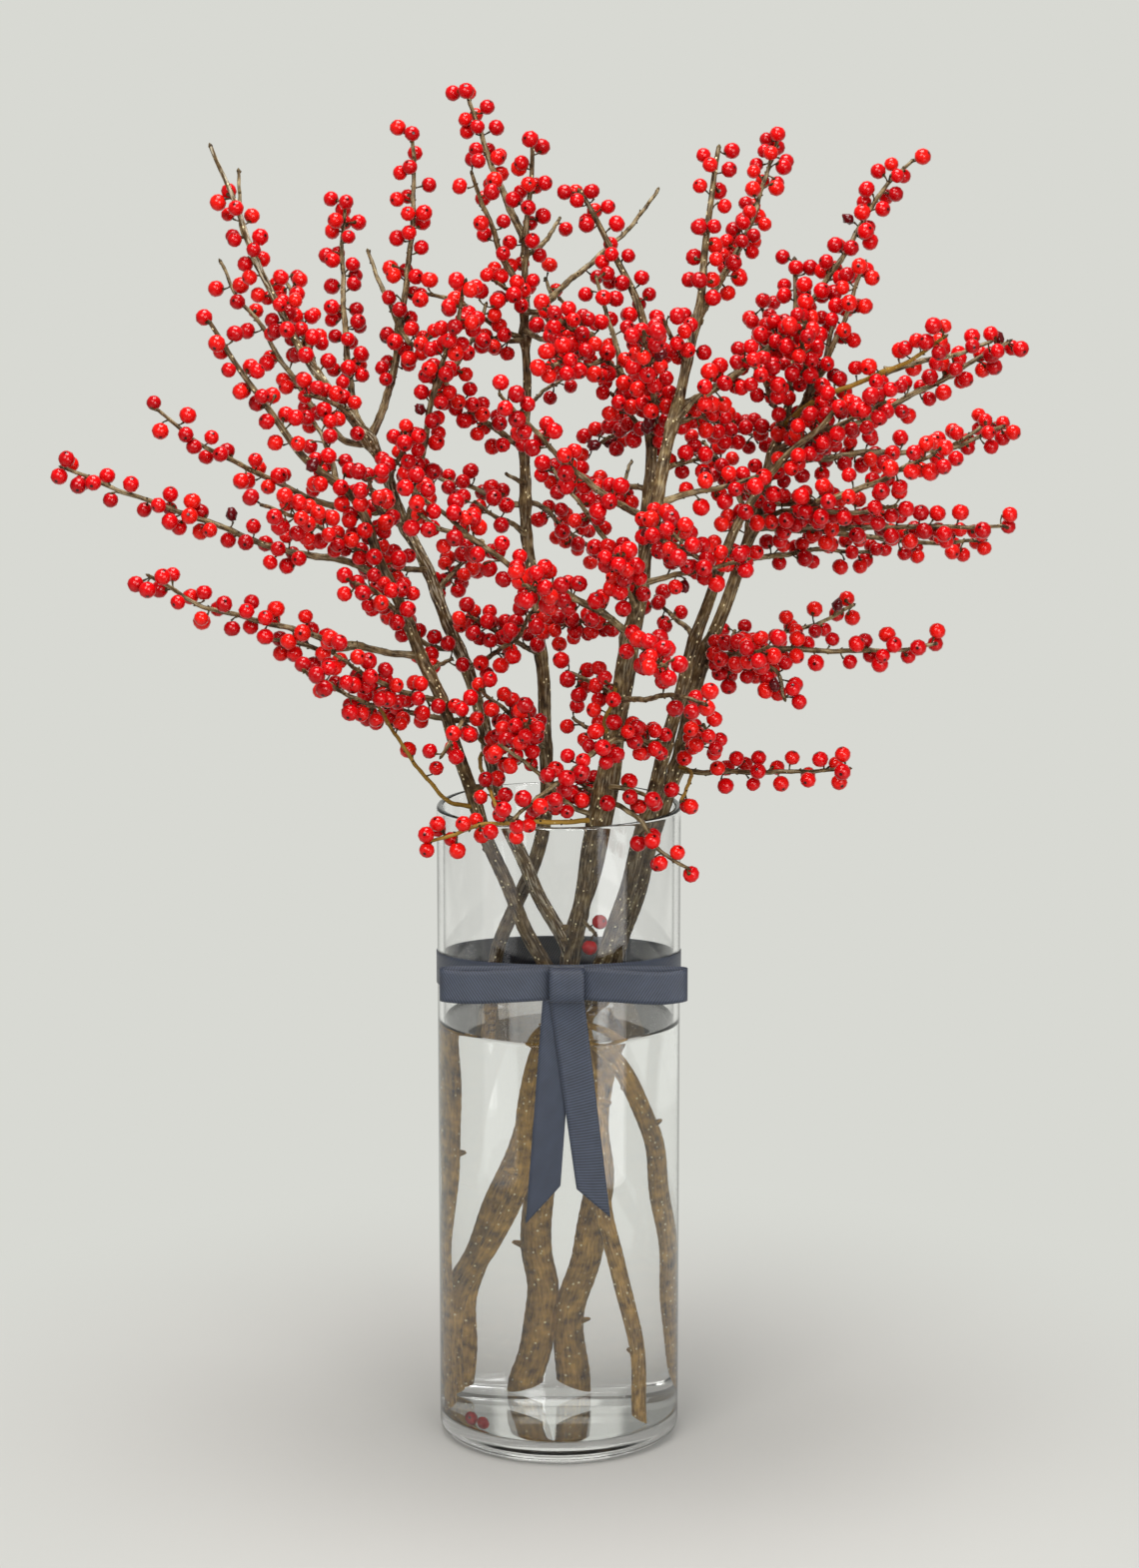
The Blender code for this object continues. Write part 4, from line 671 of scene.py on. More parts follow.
@dataclass
class Growth:
    """Grows the drawn stems and shoots into limbs, by the rules that the CAD solids follow.

    Each limb then gets what a grown one has: a slight waver, a swelling at each leaf scar and fork, and a
    flare where it leaves its parent.
    """

    foot_height: float = 14.3
    foot_gap: float = 0.3
    stem_girth: tuple[tuple[float, float], ...] = ((0.0, 5.8), (0.5, 5.0), (0.75, 3.7), (1.0, 1.4))
    slim_foot_share: float = 0.4
    shoot_tip: float = 1.2
    crossing_room: float = 1.3
    crossing_reach: float = 2.5
    crossing_rounds: int = 150
    crossing_push: float = 0.6
    root_zone: float = 14.0
    sample_step: float = 4.0
    stem_step: float = 2.6
    shoot_step: float = 2.2
    stem_waver: tuple[tuple[float, float], ...] = ((150.0, 0.8), (63.0, 0.45))
    shoot_waver: tuple[tuple[float, float], ...] = ((41.0, 0.35), (15.0, 0.14))
    foot_spare: float = 9.0
    scar_gap: float = 7.5
    stem_scar: tuple[float, float] = (0.03, 1.5)
    shoot_scar: tuple[float, float] = (0.12, 1.2)
    shoot_share: float = 0.86
    root_flare: tuple[float, float] = (0.62, 2.6)
    fork_swelling: float = 0.28
    fork_reach: tuple[float, float] = (1.6, 1.2)
    lines: dict[str, DrawnLine] = field(default_factory=dict, init=False)
    limbs: dict[str, Limb] = field(default_factory=dict, init=False)

    def stem_line(self, stem: Stem) -> DrawnLine:
        """Draw a stem's line from its foot on the vase's floor to its tip.

        Args:
            stem: The stem.

        Returns:
            The line, with every point fixed.
        """
        floor = self.foot_height - self.foot_gap
        rise = np.array(stem.path[0], float) - (*stem.foot, floor)
        lean = np.hypot(rise[0], rise[1]) / np.linalg.norm(rise)
        foot = drawn_place((*stem.foot, self.foot_height + self.stem_girth[0][1] * lean))
        points = np.array([foot, *stem.path], float)
        far = along(real_place(points))
        marks, girths = zip(*self.stem_girth)
        radii = np.interp(far / far[-1], marks, girths) * SLIM.get(stem.name, 1.0)
        slim = SLIM_FEET.get(stem.name, 1.0)
        radii *= np.interp(far / far[-1], (0.0, self.slim_foot_share), (slim, 1.0))
        return DrawnLine(stem.name, stem.name, None, points, radii, np.ones(len(points), bool))

    def shoot_line(self, shoot: Shoot) -> DrawnLine:
        """Draw a shoot's line, rooted on its parent's axis.

        Args:
            shoot: The shoot, whose parent is drawn already.

        Returns:
            The line, with only its root fixed.
        """
        parent = self.lines[shoot.parent]
        root = nearest_on(parent.points, shoot.path[0])
        flat = np.array([(root[0], root[2]), *shoot.path[1:]], float)
        share = along(flat) / along(flat)[-1]
        depths = root[1] + (shoot.depth - root[1]) * share**shoot.swing
        points = np.column_stack([flat[:, 0], depths, flat[:, 1]])
        radii = shoot.root + (self.shoot_tip - shoot.root) * share
        fixed = np.zeros(len(points), bool)
        fixed[0] = True
        return DrawnLine(shoot.name, parent.stem, shoot.parent, points, radii, fixed)

    def samples_of(self, line: DrawnLine) -> tuple[np.ndarray, np.ndarray, np.ndarray]:
        """Cut a drawn line into places every few millimetres.

        Args:
            line: The drawn line.

        Returns:
            The index of the point before each place, its share of the way to the next, and its distance.
        """
        far = along(line.points)
        places = np.linspace(0.0, far[-1], max(int(far[-1] / self.sample_step), 2))
        before = np.clip(np.searchsorted(far, places, "right") - 1, 0, len(far) - 2)
        return before, (places - far[before]) / (far[before + 1] - far[before]), places

    def draw_apart(self) -> None:
        """Move the shoots' free points in depth until lines that cross in the drawing pass each other."""
        names = list(self.lines)
        cuts = [self.samples_of(self.lines[name]) for name in names]
        owner = np.concatenate([np.full(len(cut[0]), index) for index, cut in enumerate(cuts)])
        before = np.concatenate([cut[0] for cut in cuts])
        share = np.concatenate([cut[1] for cut in cuts])
        near_root = np.concatenate([cut[2] < self.root_zone for cut in cuts])
        rows = [self.lines[name] for name in names]
        parents = np.array([names.index(row.parent) if row.parent else -1 for row in rows])
        starts = np.cumsum([0] + [len(row.points) for row in rows])[:-1]
        points = np.concatenate([row.points for row in rows])
        radii = np.concatenate([row.radii for row in rows])
        fixed = np.concatenate([row.fixed for row in rows])
        low = starts[owner] + before
        flat = (points[low] * (1.0 - share[:, None]) + points[low + 1] * share[:, None])[:, [0, 2]]
        girth = radii[low] * (1.0 - share) + radii[low + 1] * share
        apart = np.linalg.norm(flat[:, None] - flat[None], axis=2)
        need = girth[:, None] + girth[None] + self.crossing_room
        close = (apart < need + self.crossing_reach) & (owner[:, None] < owner[None])
        first, second = np.nonzero(close)
        child_first = (parents[owner[first]] == owner[second]) & near_root[first]
        child_second = (parents[owner[second]] == owner[first]) & near_root[second]
        twins = (parents[owner[first]] == parents[owner[second]]) & near_root[first] & near_root[second]
        kept = ~(child_first | child_second | twins)
        first, second = first[kept], second[kept]
        need = need[first, second]
        for _ in range(self.crossing_rounds):
            depth = points[low, 1] * (1.0 - share) + points[low + 1, 1] * share
            gap = depth[first] - depth[second]
            short = np.maximum(need - np.abs(gap), 0.0) * np.where(gap >= 0.0, 1.0, -1.0)
            if not short.any():
                break
            push = np.zeros(len(points))
            for ends, way in ((first, self.crossing_push), (second, -self.crossing_push)):
                for offset, weight in ((0, 1.0 - share[ends]), (1, share[ends])):
                    moved = short * way * weight
                    strongest_up, strongest_down = np.zeros(len(points)), np.zeros(len(points))
                    np.maximum.at(strongest_up, low[ends] + offset, moved)
                    np.minimum.at(strongest_down, low[ends] + offset, moved)
                    push += strongest_up + strongest_down
            push[fixed] = 0.0
            points[:, 1] += push
        for row, start in zip(rows, starts):
            row.points[:] = points[start:start + len(row.points)]

    def wavered(
        self, points: np.ndarray, name: str, waver: tuple[tuple[float, float], ...]
    ) -> np.ndarray:
        """Bend a smooth line a little from side to side, but not at its root.

        Args:
            points: The smooth line.
            name: The limb's name, which seeds the bends.
            waver: The length and the size of each wave.

        Returns:
            The bent line.
        """
        draw = random.Random(name)
        far = along(points)
        ease = np.clip(far / self.root_zone, 0.0, 1.0)
        moved = points.copy()
        for axis in range(3):
            for wave, size in waver:
                turn = draw.uniform(0.0, 2.0 * math.pi)
                moved[:, axis] += size * ease * np.sin(2.0 * math.pi * far / wave + turn)
        return moved

    def limb_of(self, line: DrawnLine) -> Limb:
        """Turn a drawn line into a smooth limb rooted on its parent's smooth axis.

        Args:
            line: The drawn line.

        Returns:
            The limb, with its scars and its flare.
        """
        real = real_place(line.points)
        if line.parent is not None:
            parent = self.limbs[line.parent].points
            real[0] = parent[np.argmin(np.linalg.norm(parent - real[0], axis=1))]
        step = self.stem_step if line.parent is None else self.shoot_step
        waver = self.stem_waver if line.parent is None else self.shoot_waver
        points = self.wavered(smoothed(real, step), line.name, waver)
        far = along(points)
        old = along(real)
        radii = np.interp(far / far[-1], old / old[-1], line.radii)
        scar = np.abs((far / self.scar_gap + 0.5) % 1.0 - 0.5) * self.scar_gap
        if line.parent is None:
            foot_way = (points[0] - points[2]) / np.linalg.norm(points[0] - points[2])
            points[0] = points[0] + foot_way * self.foot_spare
            height, width = self.stem_scar
            radii *= 1.0 + height * np.exp(-((scar / width) ** 2))
        else:
            height, width = self.shoot_scar
            flare, reach = self.root_flare
            swelling = height * np.exp(-((scar / width) ** 2))
            radii *= self.shoot_share + flare * np.exp(-far / reach) + swelling
        return Limb(line.name, line.stem, line.parent, points, radii)

    def swell_forks(self) -> None:
        """Thicken each limb where a shoot leaves it."""
        for limb in self.limbs.values():
            if limb.parent is None:
                continue
            parent = self.limbs[limb.parent]
            apart = np.linalg.norm(parent.points - limb.points[0], axis=1)
            root = self.lines[limb.name].radii[0]
            reach = self.fork_reach[0] * root + self.fork_reach[1]
            parent.radii += self.fork_swelling * root * np.exp(-((apart / reach) ** 2))

    def grow(self) -> dict[str, Limb]:
        """Grow every limb.

        Returns:
            The limbs by name, parents first.
        """
        for stem in STEMS:
            self.lines[stem.name] = self.stem_line(stem)
        for shoot in SHOOTS:
            self.lines[shoot.name] = self.shoot_line(shoot)
        self.draw_apart()
        for shoot in SHOOTS:
            line, parent = self.lines[shoot.name], self.lines[shoot.parent]
            line.points[0] = nearest_on(parent.points, (line.points[0][0], line.points[0][2]))
        for name, line in self.lines.items():
            self.limbs[name] = self.limb_of(line)
        self.swell_forks()
        return self.limbs


@dataclass
class Recipe:
    """A Geometry Nodes tree with named inputs, which is run on a piece and baked into its mesh."""

    title: str
    tree: bpy.types.GeometryNodeTree = field(init=False)
    sockets: dict[str, str] = field(default_factory=dict, init=False)
    start: bpy.types.Node = field(init=False)

    def __post_init__(self) -> None:
        """Open the tree with its geometry going in and coming out."""
        self.tree = bpy.data.node_groups.new(self.title, "GeometryNodeTree")
        self.tree.interface.new_socket("Geometry", in_out="INPUT", socket_type="NodeSocketGeometry")
        self.tree.interface.new_socket("Geometry", in_out="OUTPUT", socket_type="NodeSocketGeometry")
        self.start = add_node(self.tree, "NodeGroupInput")

    def ask(self, name: str, kind: str) -> bpy.types.NodeSocket:
        """Add a named input to the tree.

        Args:
            name: The input's name.
            kind: Its socket type, such as NodeSocketFloat.

        Returns:
            The socket that gives the input's value inside the tree.
        """
        made = self.tree.interface.new_socket(name, in_out="INPUT", socket_type=kind)
        self.sockets[name] = made.identifier
        return socket_named(self.start.outputs, made.identifier)

    def given(self, name: str, kind: str = "FLOAT") -> bpy.types.Node:
        """Read one of the piece's own attributes inside the tree.

        Args:
            name: The attribute's name.
            kind: Its data type.

        Returns:
            The node that gives the attribute.
        """
        return add_node(self.tree, "GeometryNodeInputNamedAttribute", {"Name": name}, data_type=kind)

    def close(self, geometry: bpy.types.Node) -> None:
        """End the tree: realise the copies, shade them smooth and set their material.

        Args:
            geometry: The node whose geometry comes out.
        """
        whole = add_node(self.tree, "GeometryNodeRealizeInstances", {"Geometry": geometry})
        smooth = add_node(self.tree, "GeometryNodeSetShadeSmooth", {"Geometry": whole})
        skin = self.ask("Material", "NodeSocketMaterial")
        dressed = add_node(self.tree, "GeometryNodeSetMaterial", {"Geometry": smooth, "Material": skin})
        end = add_node(self.tree, "NodeGroupOutput")
        self.tree.links.new(dressed.outputs["Geometry"], end.inputs[0])

    def bake(self, piece: bpy.types.Object, **values: Any) -> None:
        """Run the tree on a piece and keep what it makes as the piece's plain mesh.

        Args:
            piece: The object whose mesh goes in.
            values: A value for each named input, with _ for a space.
        """
        modifier = piece.modifiers.new(self.title, "NODES")
        modifier.node_group = self.tree
        for name, value in values.items():
            modifier[self.sockets[name.replace("_", " ").capitalize()]] = value
        bpy.context.view_layer.update()
        whole = piece.evaluated_get(bpy.context.evaluated_depsgraph_get())
        mesh = bpy.data.meshes.new_from_object(whole)
        piece.modifiers.clear()
        spare = piece.data
        piece.data = mesh
        bpy.data.meshes.remove(spare)
        mesh.name = piece.name


class WoodRecipe(Recipe):
    """Tubes along centre lines, each ring as wide as its girth, with a bark's low unevenness.

    The centre lines carry the attributes girth, along and seat, and golden and silver for the finish. The
    tubes gain a vector called bark, which runs round and along each limb in metres, so that a pattern
    follows the wood.
    """

    def __init__(self) -> None:
        """Build the tree."""
        super().__init__("grow wood")
        add = partial(add_node, self.tree)
        sides = self.ask("Sides", "NodeSocketInt")
        relief = self.ask("Relief", "NodeSocketFloat")
        wave = self.ask("Relief scale", "NodeSocketFloat")
        girth = self.given("girth")
        circle = add("GeometryNodeCurvePrimitiveCircle", {"Resolution": sides, "Radius": 1.0})
        ring = add(
            "GeometryNodeStoreNamedAttribute",
            {"Geometry": circle, "Name": "round", "Value": add("GeometryNodeInputPosition")},
            data_type="FLOAT_VECTOR", domain="POINT",
        )
        curve = add("GeometryNodeMeshToCurve", {"Mesh": self.start})
        tube = add(
            "GeometryNodeCurveToMesh",
            {"Curve": curve, "Profile Curve": ring, "Scale": girth, "Fill Caps": True},
        )
        spread = add(
            "ShaderNodeVectorMath", {"Vector": self.given("round", "FLOAT_VECTOR"), "Scale": girth},
            operation="SCALE",
        )
        seat = add("ShaderNodeCombineXYZ", {"X": self.given("seat"), "Z": self.given("along")})
        bark = add("ShaderNodeVectorMath", {"Vector": spread, "Vector_001": seat}, operation="ADD")
        barked = add(
            "GeometryNodeStoreNamedAttribute", {"Geometry": tube, "Name": "bark", "Value": bark},
            data_type="FLOAT_VECTOR", domain="POINT",
        )
        # The swellings are drawn out along the limb.
        drawn_out = add(
            "ShaderNodeVectorMath",
            {"Vector": self.given("bark", "FLOAT_VECTOR"), "Vector_001": (1.0, 1.0, 0.4)},
            operation="MULTIPLY",
        )
        uneven = add("ShaderNodeTexNoise", {"Vector": drawn_out, "Scale": wave, "Detail": 2.0})
        height = add("ShaderNodeMath", {"Value": uneven, "Value_001": 0.5}, operation="SUBTRACT")
        for factor in (girth, relief):
            height = add("ShaderNodeMath", {"Value": height, "Value_001": factor}, operation="MULTIPLY")
        offset = add(
            "ShaderNodeVectorMath", {"Vector": add("GeometryNodeInputNormal"), "Scale": height},
            operation="SCALE",
        )
        self.close(add("GeometryNodeSetPosition", {"Geometry": barked, "Offset": offset}))


class BerryRecipe(Recipe):
    """A small round berry on every spot, its blossom end turned along the spot's way.

    The spots carry the attributes way, shape, tone and dried. Each berry gains a vector called skin,
    which is its own place on a ball of radius 1 with the blossom end at +Z.
    """

    def __init__(self) -> None:
        """Build the tree."""
        super().__init__("hang berries")
        add = partial(add_node, self.tree)
        segments = self.ask("Segments", "NodeSocketInt")
        rings = self.ask("Rings", "NodeSocketInt")
        dent = self.ask("Dent", "NodeSocketFloat")
        wrinkle = self.ask("Wrinkle", "NodeSocketFloat")
        ball = add("GeometryNodeMeshUVSphere", {"Segments": segments, "Rings": rings, "Radius": 1.0})
        here = add("GeometryNodeInputPosition")
        store = add(
            "GeometryNodeStoreNamedAttribute", {"Geometry": ball, "Name": "skin", "Value": here},
            data_type="FLOAT_VECTOR", domain="POINT",
        )
        # A high power of the height sinks the blossom end and nothing else.
        height = add("ShaderNodeSeparateXYZ", {"Vector": here}).outputs["Z"]
        push = add("ShaderNodeMath", {"Value": height, "Value_001": 15.0}, operation="POWER")
        for factor in (dent, -1.0):
            push = add("ShaderNodeMath", {"Value": push, "Value_001": factor}, operation="MULTIPLY")
        inward = add("ShaderNodeCombineXYZ", {"Z": push})
        dented = add("GeometryNodeSetPosition", {"Geometry": store, "Offset": inward})
        turn = add(
            "FunctionNodeAlignRotationToVector", {"Vector": self.given("way", "FLOAT_VECTOR")}, axis="Z"
        )
        hung = add(
            "GeometryNodeInstanceOnPoints",
            {"Points": self.start, "Instance": dented, "Rotation": turn,
             "Scale": self.given("shape", "FLOAT_VECTOR")},
        )
        real = add("GeometryNodeRealizeInstances", {"Geometry": hung})
        # Dried berries are wrinkled, by a noise with lumps of about 2 mm, and shrink a little.
        uneven = add(
            "ShaderNodeTexNoise",
            {"Vector": add("GeometryNodeInputPosition"), "Scale": 520.0, "Detail": 1.0},
        )
        depth = add("ShaderNodeMath", {"Value": uneven, "Value_001": 0.62}, operation="SUBTRACT")
        for factor in (wrinkle, self.given("dried")):
            depth = add("ShaderNodeMath", {"Value": depth, "Value_001": factor}, operation="MULTIPLY")
        offset = add(
            "ShaderNodeVectorMath", {"Vector": add("GeometryNodeInputNormal"), "Scale": depth},
            operation="SCALE",
        )
        self.close(add("GeometryNodeSetPosition", {"Geometry": real, "Offset": offset}))


@dataclass(frozen=True)
class Finish:
    """A finish: a material whose shader's inputs each kind of finish works out for itself."""

    name: str = "finish"

    def surface(self, tree: bpy.types.NodeTree) -> dict[str, Any]:
        """Work out the Principled shader's inputs.

        Args:
            tree: The material's tree.

        Returns:
            A value, node or socket for each input.
        """
        raise NotImplementedError

    def make(self) -> bpy.types.Material:
        """Make the material.

        Returns:
            The material, with its shader joined to its output.
        """
        material = bpy.data.materials.new(self.name)
        material.use_nodes = True
        tree = material.node_tree
        tree.nodes.clear()
        shader = add_node(tree, "ShaderNodeBsdfPrincipled", self.surface(tree))
        add_node(tree, "ShaderNodeOutputMaterial", {"Surface": shader})
        return material


@dataclass(frozen=True)
class BarkFinish(Finish):
    """Winterberry bark: smooth, thin and grey-olive, dotted with pale raised breathing pores.

    It was grown, not made: young wood is golden and plain, older wood is greyer and streaked along its
    length, and under water it turns a warm brown. The eye gets a matt skin with small bright specks.
    """

    name: str = "bark"
    deep: str = "2A1E10"
    middle: str = "524027"
    light: str = "7F6D48"
    silver: str = "B7B09A"
    pore: str = "E8DCAE"
    young: str = "846628"
    soaked_deep: str = "74541F"
    soaked: str = "CC9E48"
    heart: str = "DCC48C"
    dry_at: tuple[float, ...] = (0.36, 0.5, 0.66)
    soaked_at: tuple[float, ...] = (0.3, 0.4, 0.64)
    soaked_share: float = 0.85
    silver_at: tuple[float, float] = (0.5, 0.64)
    silver_share: float = 0.85
    roughness: float = 0.62
    gloss: float = 0.15
    relief: float = 0.35
    relief_m: float = 0.0005
    mottle_mm: float = 6.0
    streak_mm: float = 1.1
    streak_way: tuple[float, float, float] = (1.0, 1.0, 0.12)
    streak_share: float = 0.4
    pore_gap_mm: float = 3.0
    pore_way: tuple[float, float, float] = (1.0, 1.0, 0.7)
    pore_size: float = 0.2
    pore_size_soft: float = 0.12
    pores_left_out: float = 0.25
    pores_shown: float = 1.0
    wet_from_m: float = 0.263
    dry_from_m: float = 0.269

    def surface(self, tree: bpy.types.NodeTree) -> dict[str, Any]:
        """Work out the shader's inputs from the wood's attributes bark, golden, silver and cut.

        Args:
            tree: The material's tree.

        Returns:
            A value, node or socket for each input.
        """
        add = partial(add_node, tree)
        bark = add("ShaderNodeAttribute", attribute_name="bark").outputs["Vector"]
        golden, silver, cut = (
            add("ShaderNodeAttribute", attribute_name=name).outputs["Fac"]
            for name in ("golden", "silver", "cut")
        )
        streak_way, pore_way = (
            add("ShaderNodeVectorMath", {"Vector": bark, "Vector_001": way}, operation="MULTIPLY")
            for way in (self.streak_way, self.pore_way)
        )
        mottle = add(
            "ShaderNodeTexNoise", {"Vector": bark, "Scale": 1000.0 / self.mottle_mm, "Detail": 4.0}
        )
        streak = add(
            "ShaderNodeTexNoise", {"Vector": streak_way, "Scale": 1000.0 / self.streak_mm, "Detail": 3.0}
        )
        both = add(
            "ShaderNodeMix", {"Factor_Float": self.streak_share, "A_Float": mottle, "B_Float": streak},
            data_type="FLOAT",
        )
        dry = (self.deep, self.middle, self.light)
        wet = (self.deep, self.soaked_deep, self.soaked)
        look, wet_look = (
            add("ShaderNodeValToRGB", {"Fac": both}, tuple(zip(places, codes)))
            for places, codes in ((self.dry_at, dry), (self.soaked_at, wet))
        )
        greyer = add(
            "ShaderNodeMapRange",
            {"Value": streak, "From Min": self.silver_at[0], "From Max": self.silver_at[1],
             "To Min": 0.0, "To Max": self.silver_share},
        )
        greyer_here = add("ShaderNodeMath", {"Value": greyer, "Value_001": silver}, operation="MULTIPLY")
        place = add("ShaderNodeTexCoord").outputs["Object"]
        under = add(
            "ShaderNodeMapRange",
            {"Value": add("ShaderNodeSeparateXYZ", {"Vector": place}).outputs["Z"],
             "From Min": self.wet_from_m, "From Max": self.dry_from_m,
             "To Min": self.soaked_share, "To Max": 0.0},
        )
        cells = add("ShaderNodeTexVoronoi", {"Vector": pore_way, "Scale": 1000.0 / self.pore_gap_mm})
        dot = add(
            "ShaderNodeMapRange",
            {"Value": cells, "From Min": self.pore_size_soft, "From Max": self.pore_size,
             "To Min": self.pores_shown, "To Max": 0.0},
        )
        some = add("ShaderNodeSeparateXYZ", {"Vector": cells.outputs["Color"]})
        chosen = add(
            "ShaderNodeMath", {"Value": some, "Value_001": self.pores_left_out}, operation="GREATER_THAN"
        )
        pores = add("ShaderNodeMath", {"Value": dot, "Value_001": chosen}, operation="MULTIPLY")
        for share, over in (
            (greyer_here, self.silver),
            (golden, self.young),
            (under, wet_look),
            (pores, self.pore),
            (cut, self.heart),
        ):
            look = add(
                "ShaderNodeMix", {"Factor_Float": share, "A_Color": look, "B_Color": over}, data_type="RGBA"
            )
        height = add("ShaderNodeMath", {"Value": pores, "Value_001": both}, operation="ADD")
        return {
            "Base Color": look,
            "Normal": add(
                "ShaderNodeBump", {"Height": height, "Strength": self.relief, "Distance": self.relief_m}
            ),
            "Roughness": self.roughness,
            "Specular IOR Level": self.gloss,
        }


@dataclass(frozen=True)
class BerryFinish(Finish):
    """Ripe winterberry skin: a thin waxy film over opaque scarlet flesh.

    It grew in the open, so one berry is a little deeper or more orange than the next. The wax gives a
    soft highlight. The blossom end keeps a black scar in a faint ring, and the stalk end a dark calyx.
    """

    name: str = "berry skin"
    deep: str = "8E0208"
    ripe: str = "BB0308"
    warm: str = "D0170B"
    scar: str = "1C0806"
    calyx: str = "3A2A12"
    withered: str = "4E060A"
    tone_at: tuple[float, ...] = (0.05, 0.5, 0.95)
    cloud_share: float = 0.3
    cloud_scale: float = 1.4
    pimple_scale: float = 9.0
    relief: float = 0.04
    relief_m: float = 0.0004
    roughness: float = 0.16
    gloss: float = 0.28
    ring_size: tuple[float, float] = (0.32, 0.48)
    ring_share: float = 0.35
    scar_size: tuple[float, float] = (0.15, 0.24)
    scar_share: float = 0.95
    calyx_size: tuple[float, float] = (0.2, 0.3)

    def surface(self, tree: bpy.types.NodeTree) -> dict[str, Any]:
        """Work out the shader's inputs from the berries' attributes skin, tone and dried.

        Args:
            tree: The material's tree.

        Returns:
            A value, node or socket for each input.
        """
        add = partial(add_node, tree)
        skin = add("ShaderNodeAttribute", attribute_name="skin").outputs["Vector"]
        tone, dried = (
            add("ShaderNodeAttribute", attribute_name=name).outputs["Fac"] for name in ("tone", "dried")
        )
        cloud = add("ShaderNodeTexNoise", {"Vector": skin, "Scale": self.cloud_scale, "Detail": 2.0})
        shade = add(
            "ShaderNodeMix", {"Factor_Float": self.cloud_share, "A_Float": tone, "B_Float": cloud},
            data_type="FLOAT",
        )
        look = add(
            "ShaderNodeValToRGB", {"Fac": shade}, tuple(zip(self.tone_at, (self.deep, self.ripe, self.warm)))
        )
        # The marks at the two ends are round about the berry's axis.
        flat = add(
            "ShaderNodeVectorMath", {"Vector": skin, "Vector_001": (1.0, 1.0, 0.0)}, operation="MULTIPLY"
        )
        reach = add("ShaderNodeVectorMath", {"Vector": flat}, operation="LENGTH")
        height = add("ShaderNodeSeparateXYZ", {"Vector": skin}).outputs["Z"]
        top, bottom = (
            add("ShaderNodeMath", {"Value": height, "Value_001": 0.0}, operation=test)
            for test in ("GREATER_THAN", "LESS_THAN")
        )
        layers = []
        for side, size, share, over in (
            (top, self.ring_size, self.ring_share, self.deep),
            (top, self.scar_size, self.scar_share, self.scar),
            (bottom, self.calyx_size, 1.0, self.calyx),
        ):
            faded = add(
                "ShaderNodeMapRange",
                {"Value": reach, "From Min": size[0], "From Max": size[1], "To Min": share, "To Max": 0.0},
            )
            mark = add("ShaderNodeMath", {"Value": faded, "Value_001": side}, operation="MULTIPLY")
            layers.append((mark, over))
        for share, over in (*layers, (dried, self.withered)):
            look = add(
                "ShaderNodeMix", {"Factor_Float": share, "A_Color": look, "B_Color": over}, data_type="RGBA"
            )
        pimples = add("ShaderNodeTexNoise", {"Vector": skin, "Scale": self.pimple_scale, "Detail": 2.0})
        return {
            "Base Color": look,
            "Normal": add(
                "ShaderNodeBump", {"Height": pimples, "Strength": self.relief, "Distance": self.relief_m}
            ),
            "Roughness": self.roughness,
            "Specular IOR Level": self.gloss,
        }


@dataclass(frozen=True)
class WaterFinish(Finish):
    """Still tap water, with the faintest ripple on top and no colour of its own."""

    name: str = "still water"
    tint: str = "FCFDFC"
    ior: float = 1.333
    wave_mm: float = 22.0
    wave: float = 0.06
    wave_m: float = 0.001

    def surface(self, tree: bpy.types.NodeTree) -> dict[str, Any]:
        """Work out the inputs of a clear body with a slow wave in its surface.

        Args:
            tree: The material's tree.

        Returns:
            A value, node or socket for each input.
        """
        place = add_node(tree, "ShaderNodeTexCoord").outputs["Object"]
        wave = add_node(
            tree, "ShaderNodeTexNoise", {"Vector": place, "Scale": 1000.0 / self.wave_mm, "Detail": 0.0}
        )
        return {
            "Base Color": self.tint,
            "Normal": add_node(
                tree, "ShaderNodeBump", {"Height": wave, "Strength": self.wave, "Distance": self.wave_m}
            ),
            "Roughness": 0.0,
            "IOR": self.ior,
            "Transmission Weight": 1.0,
        }


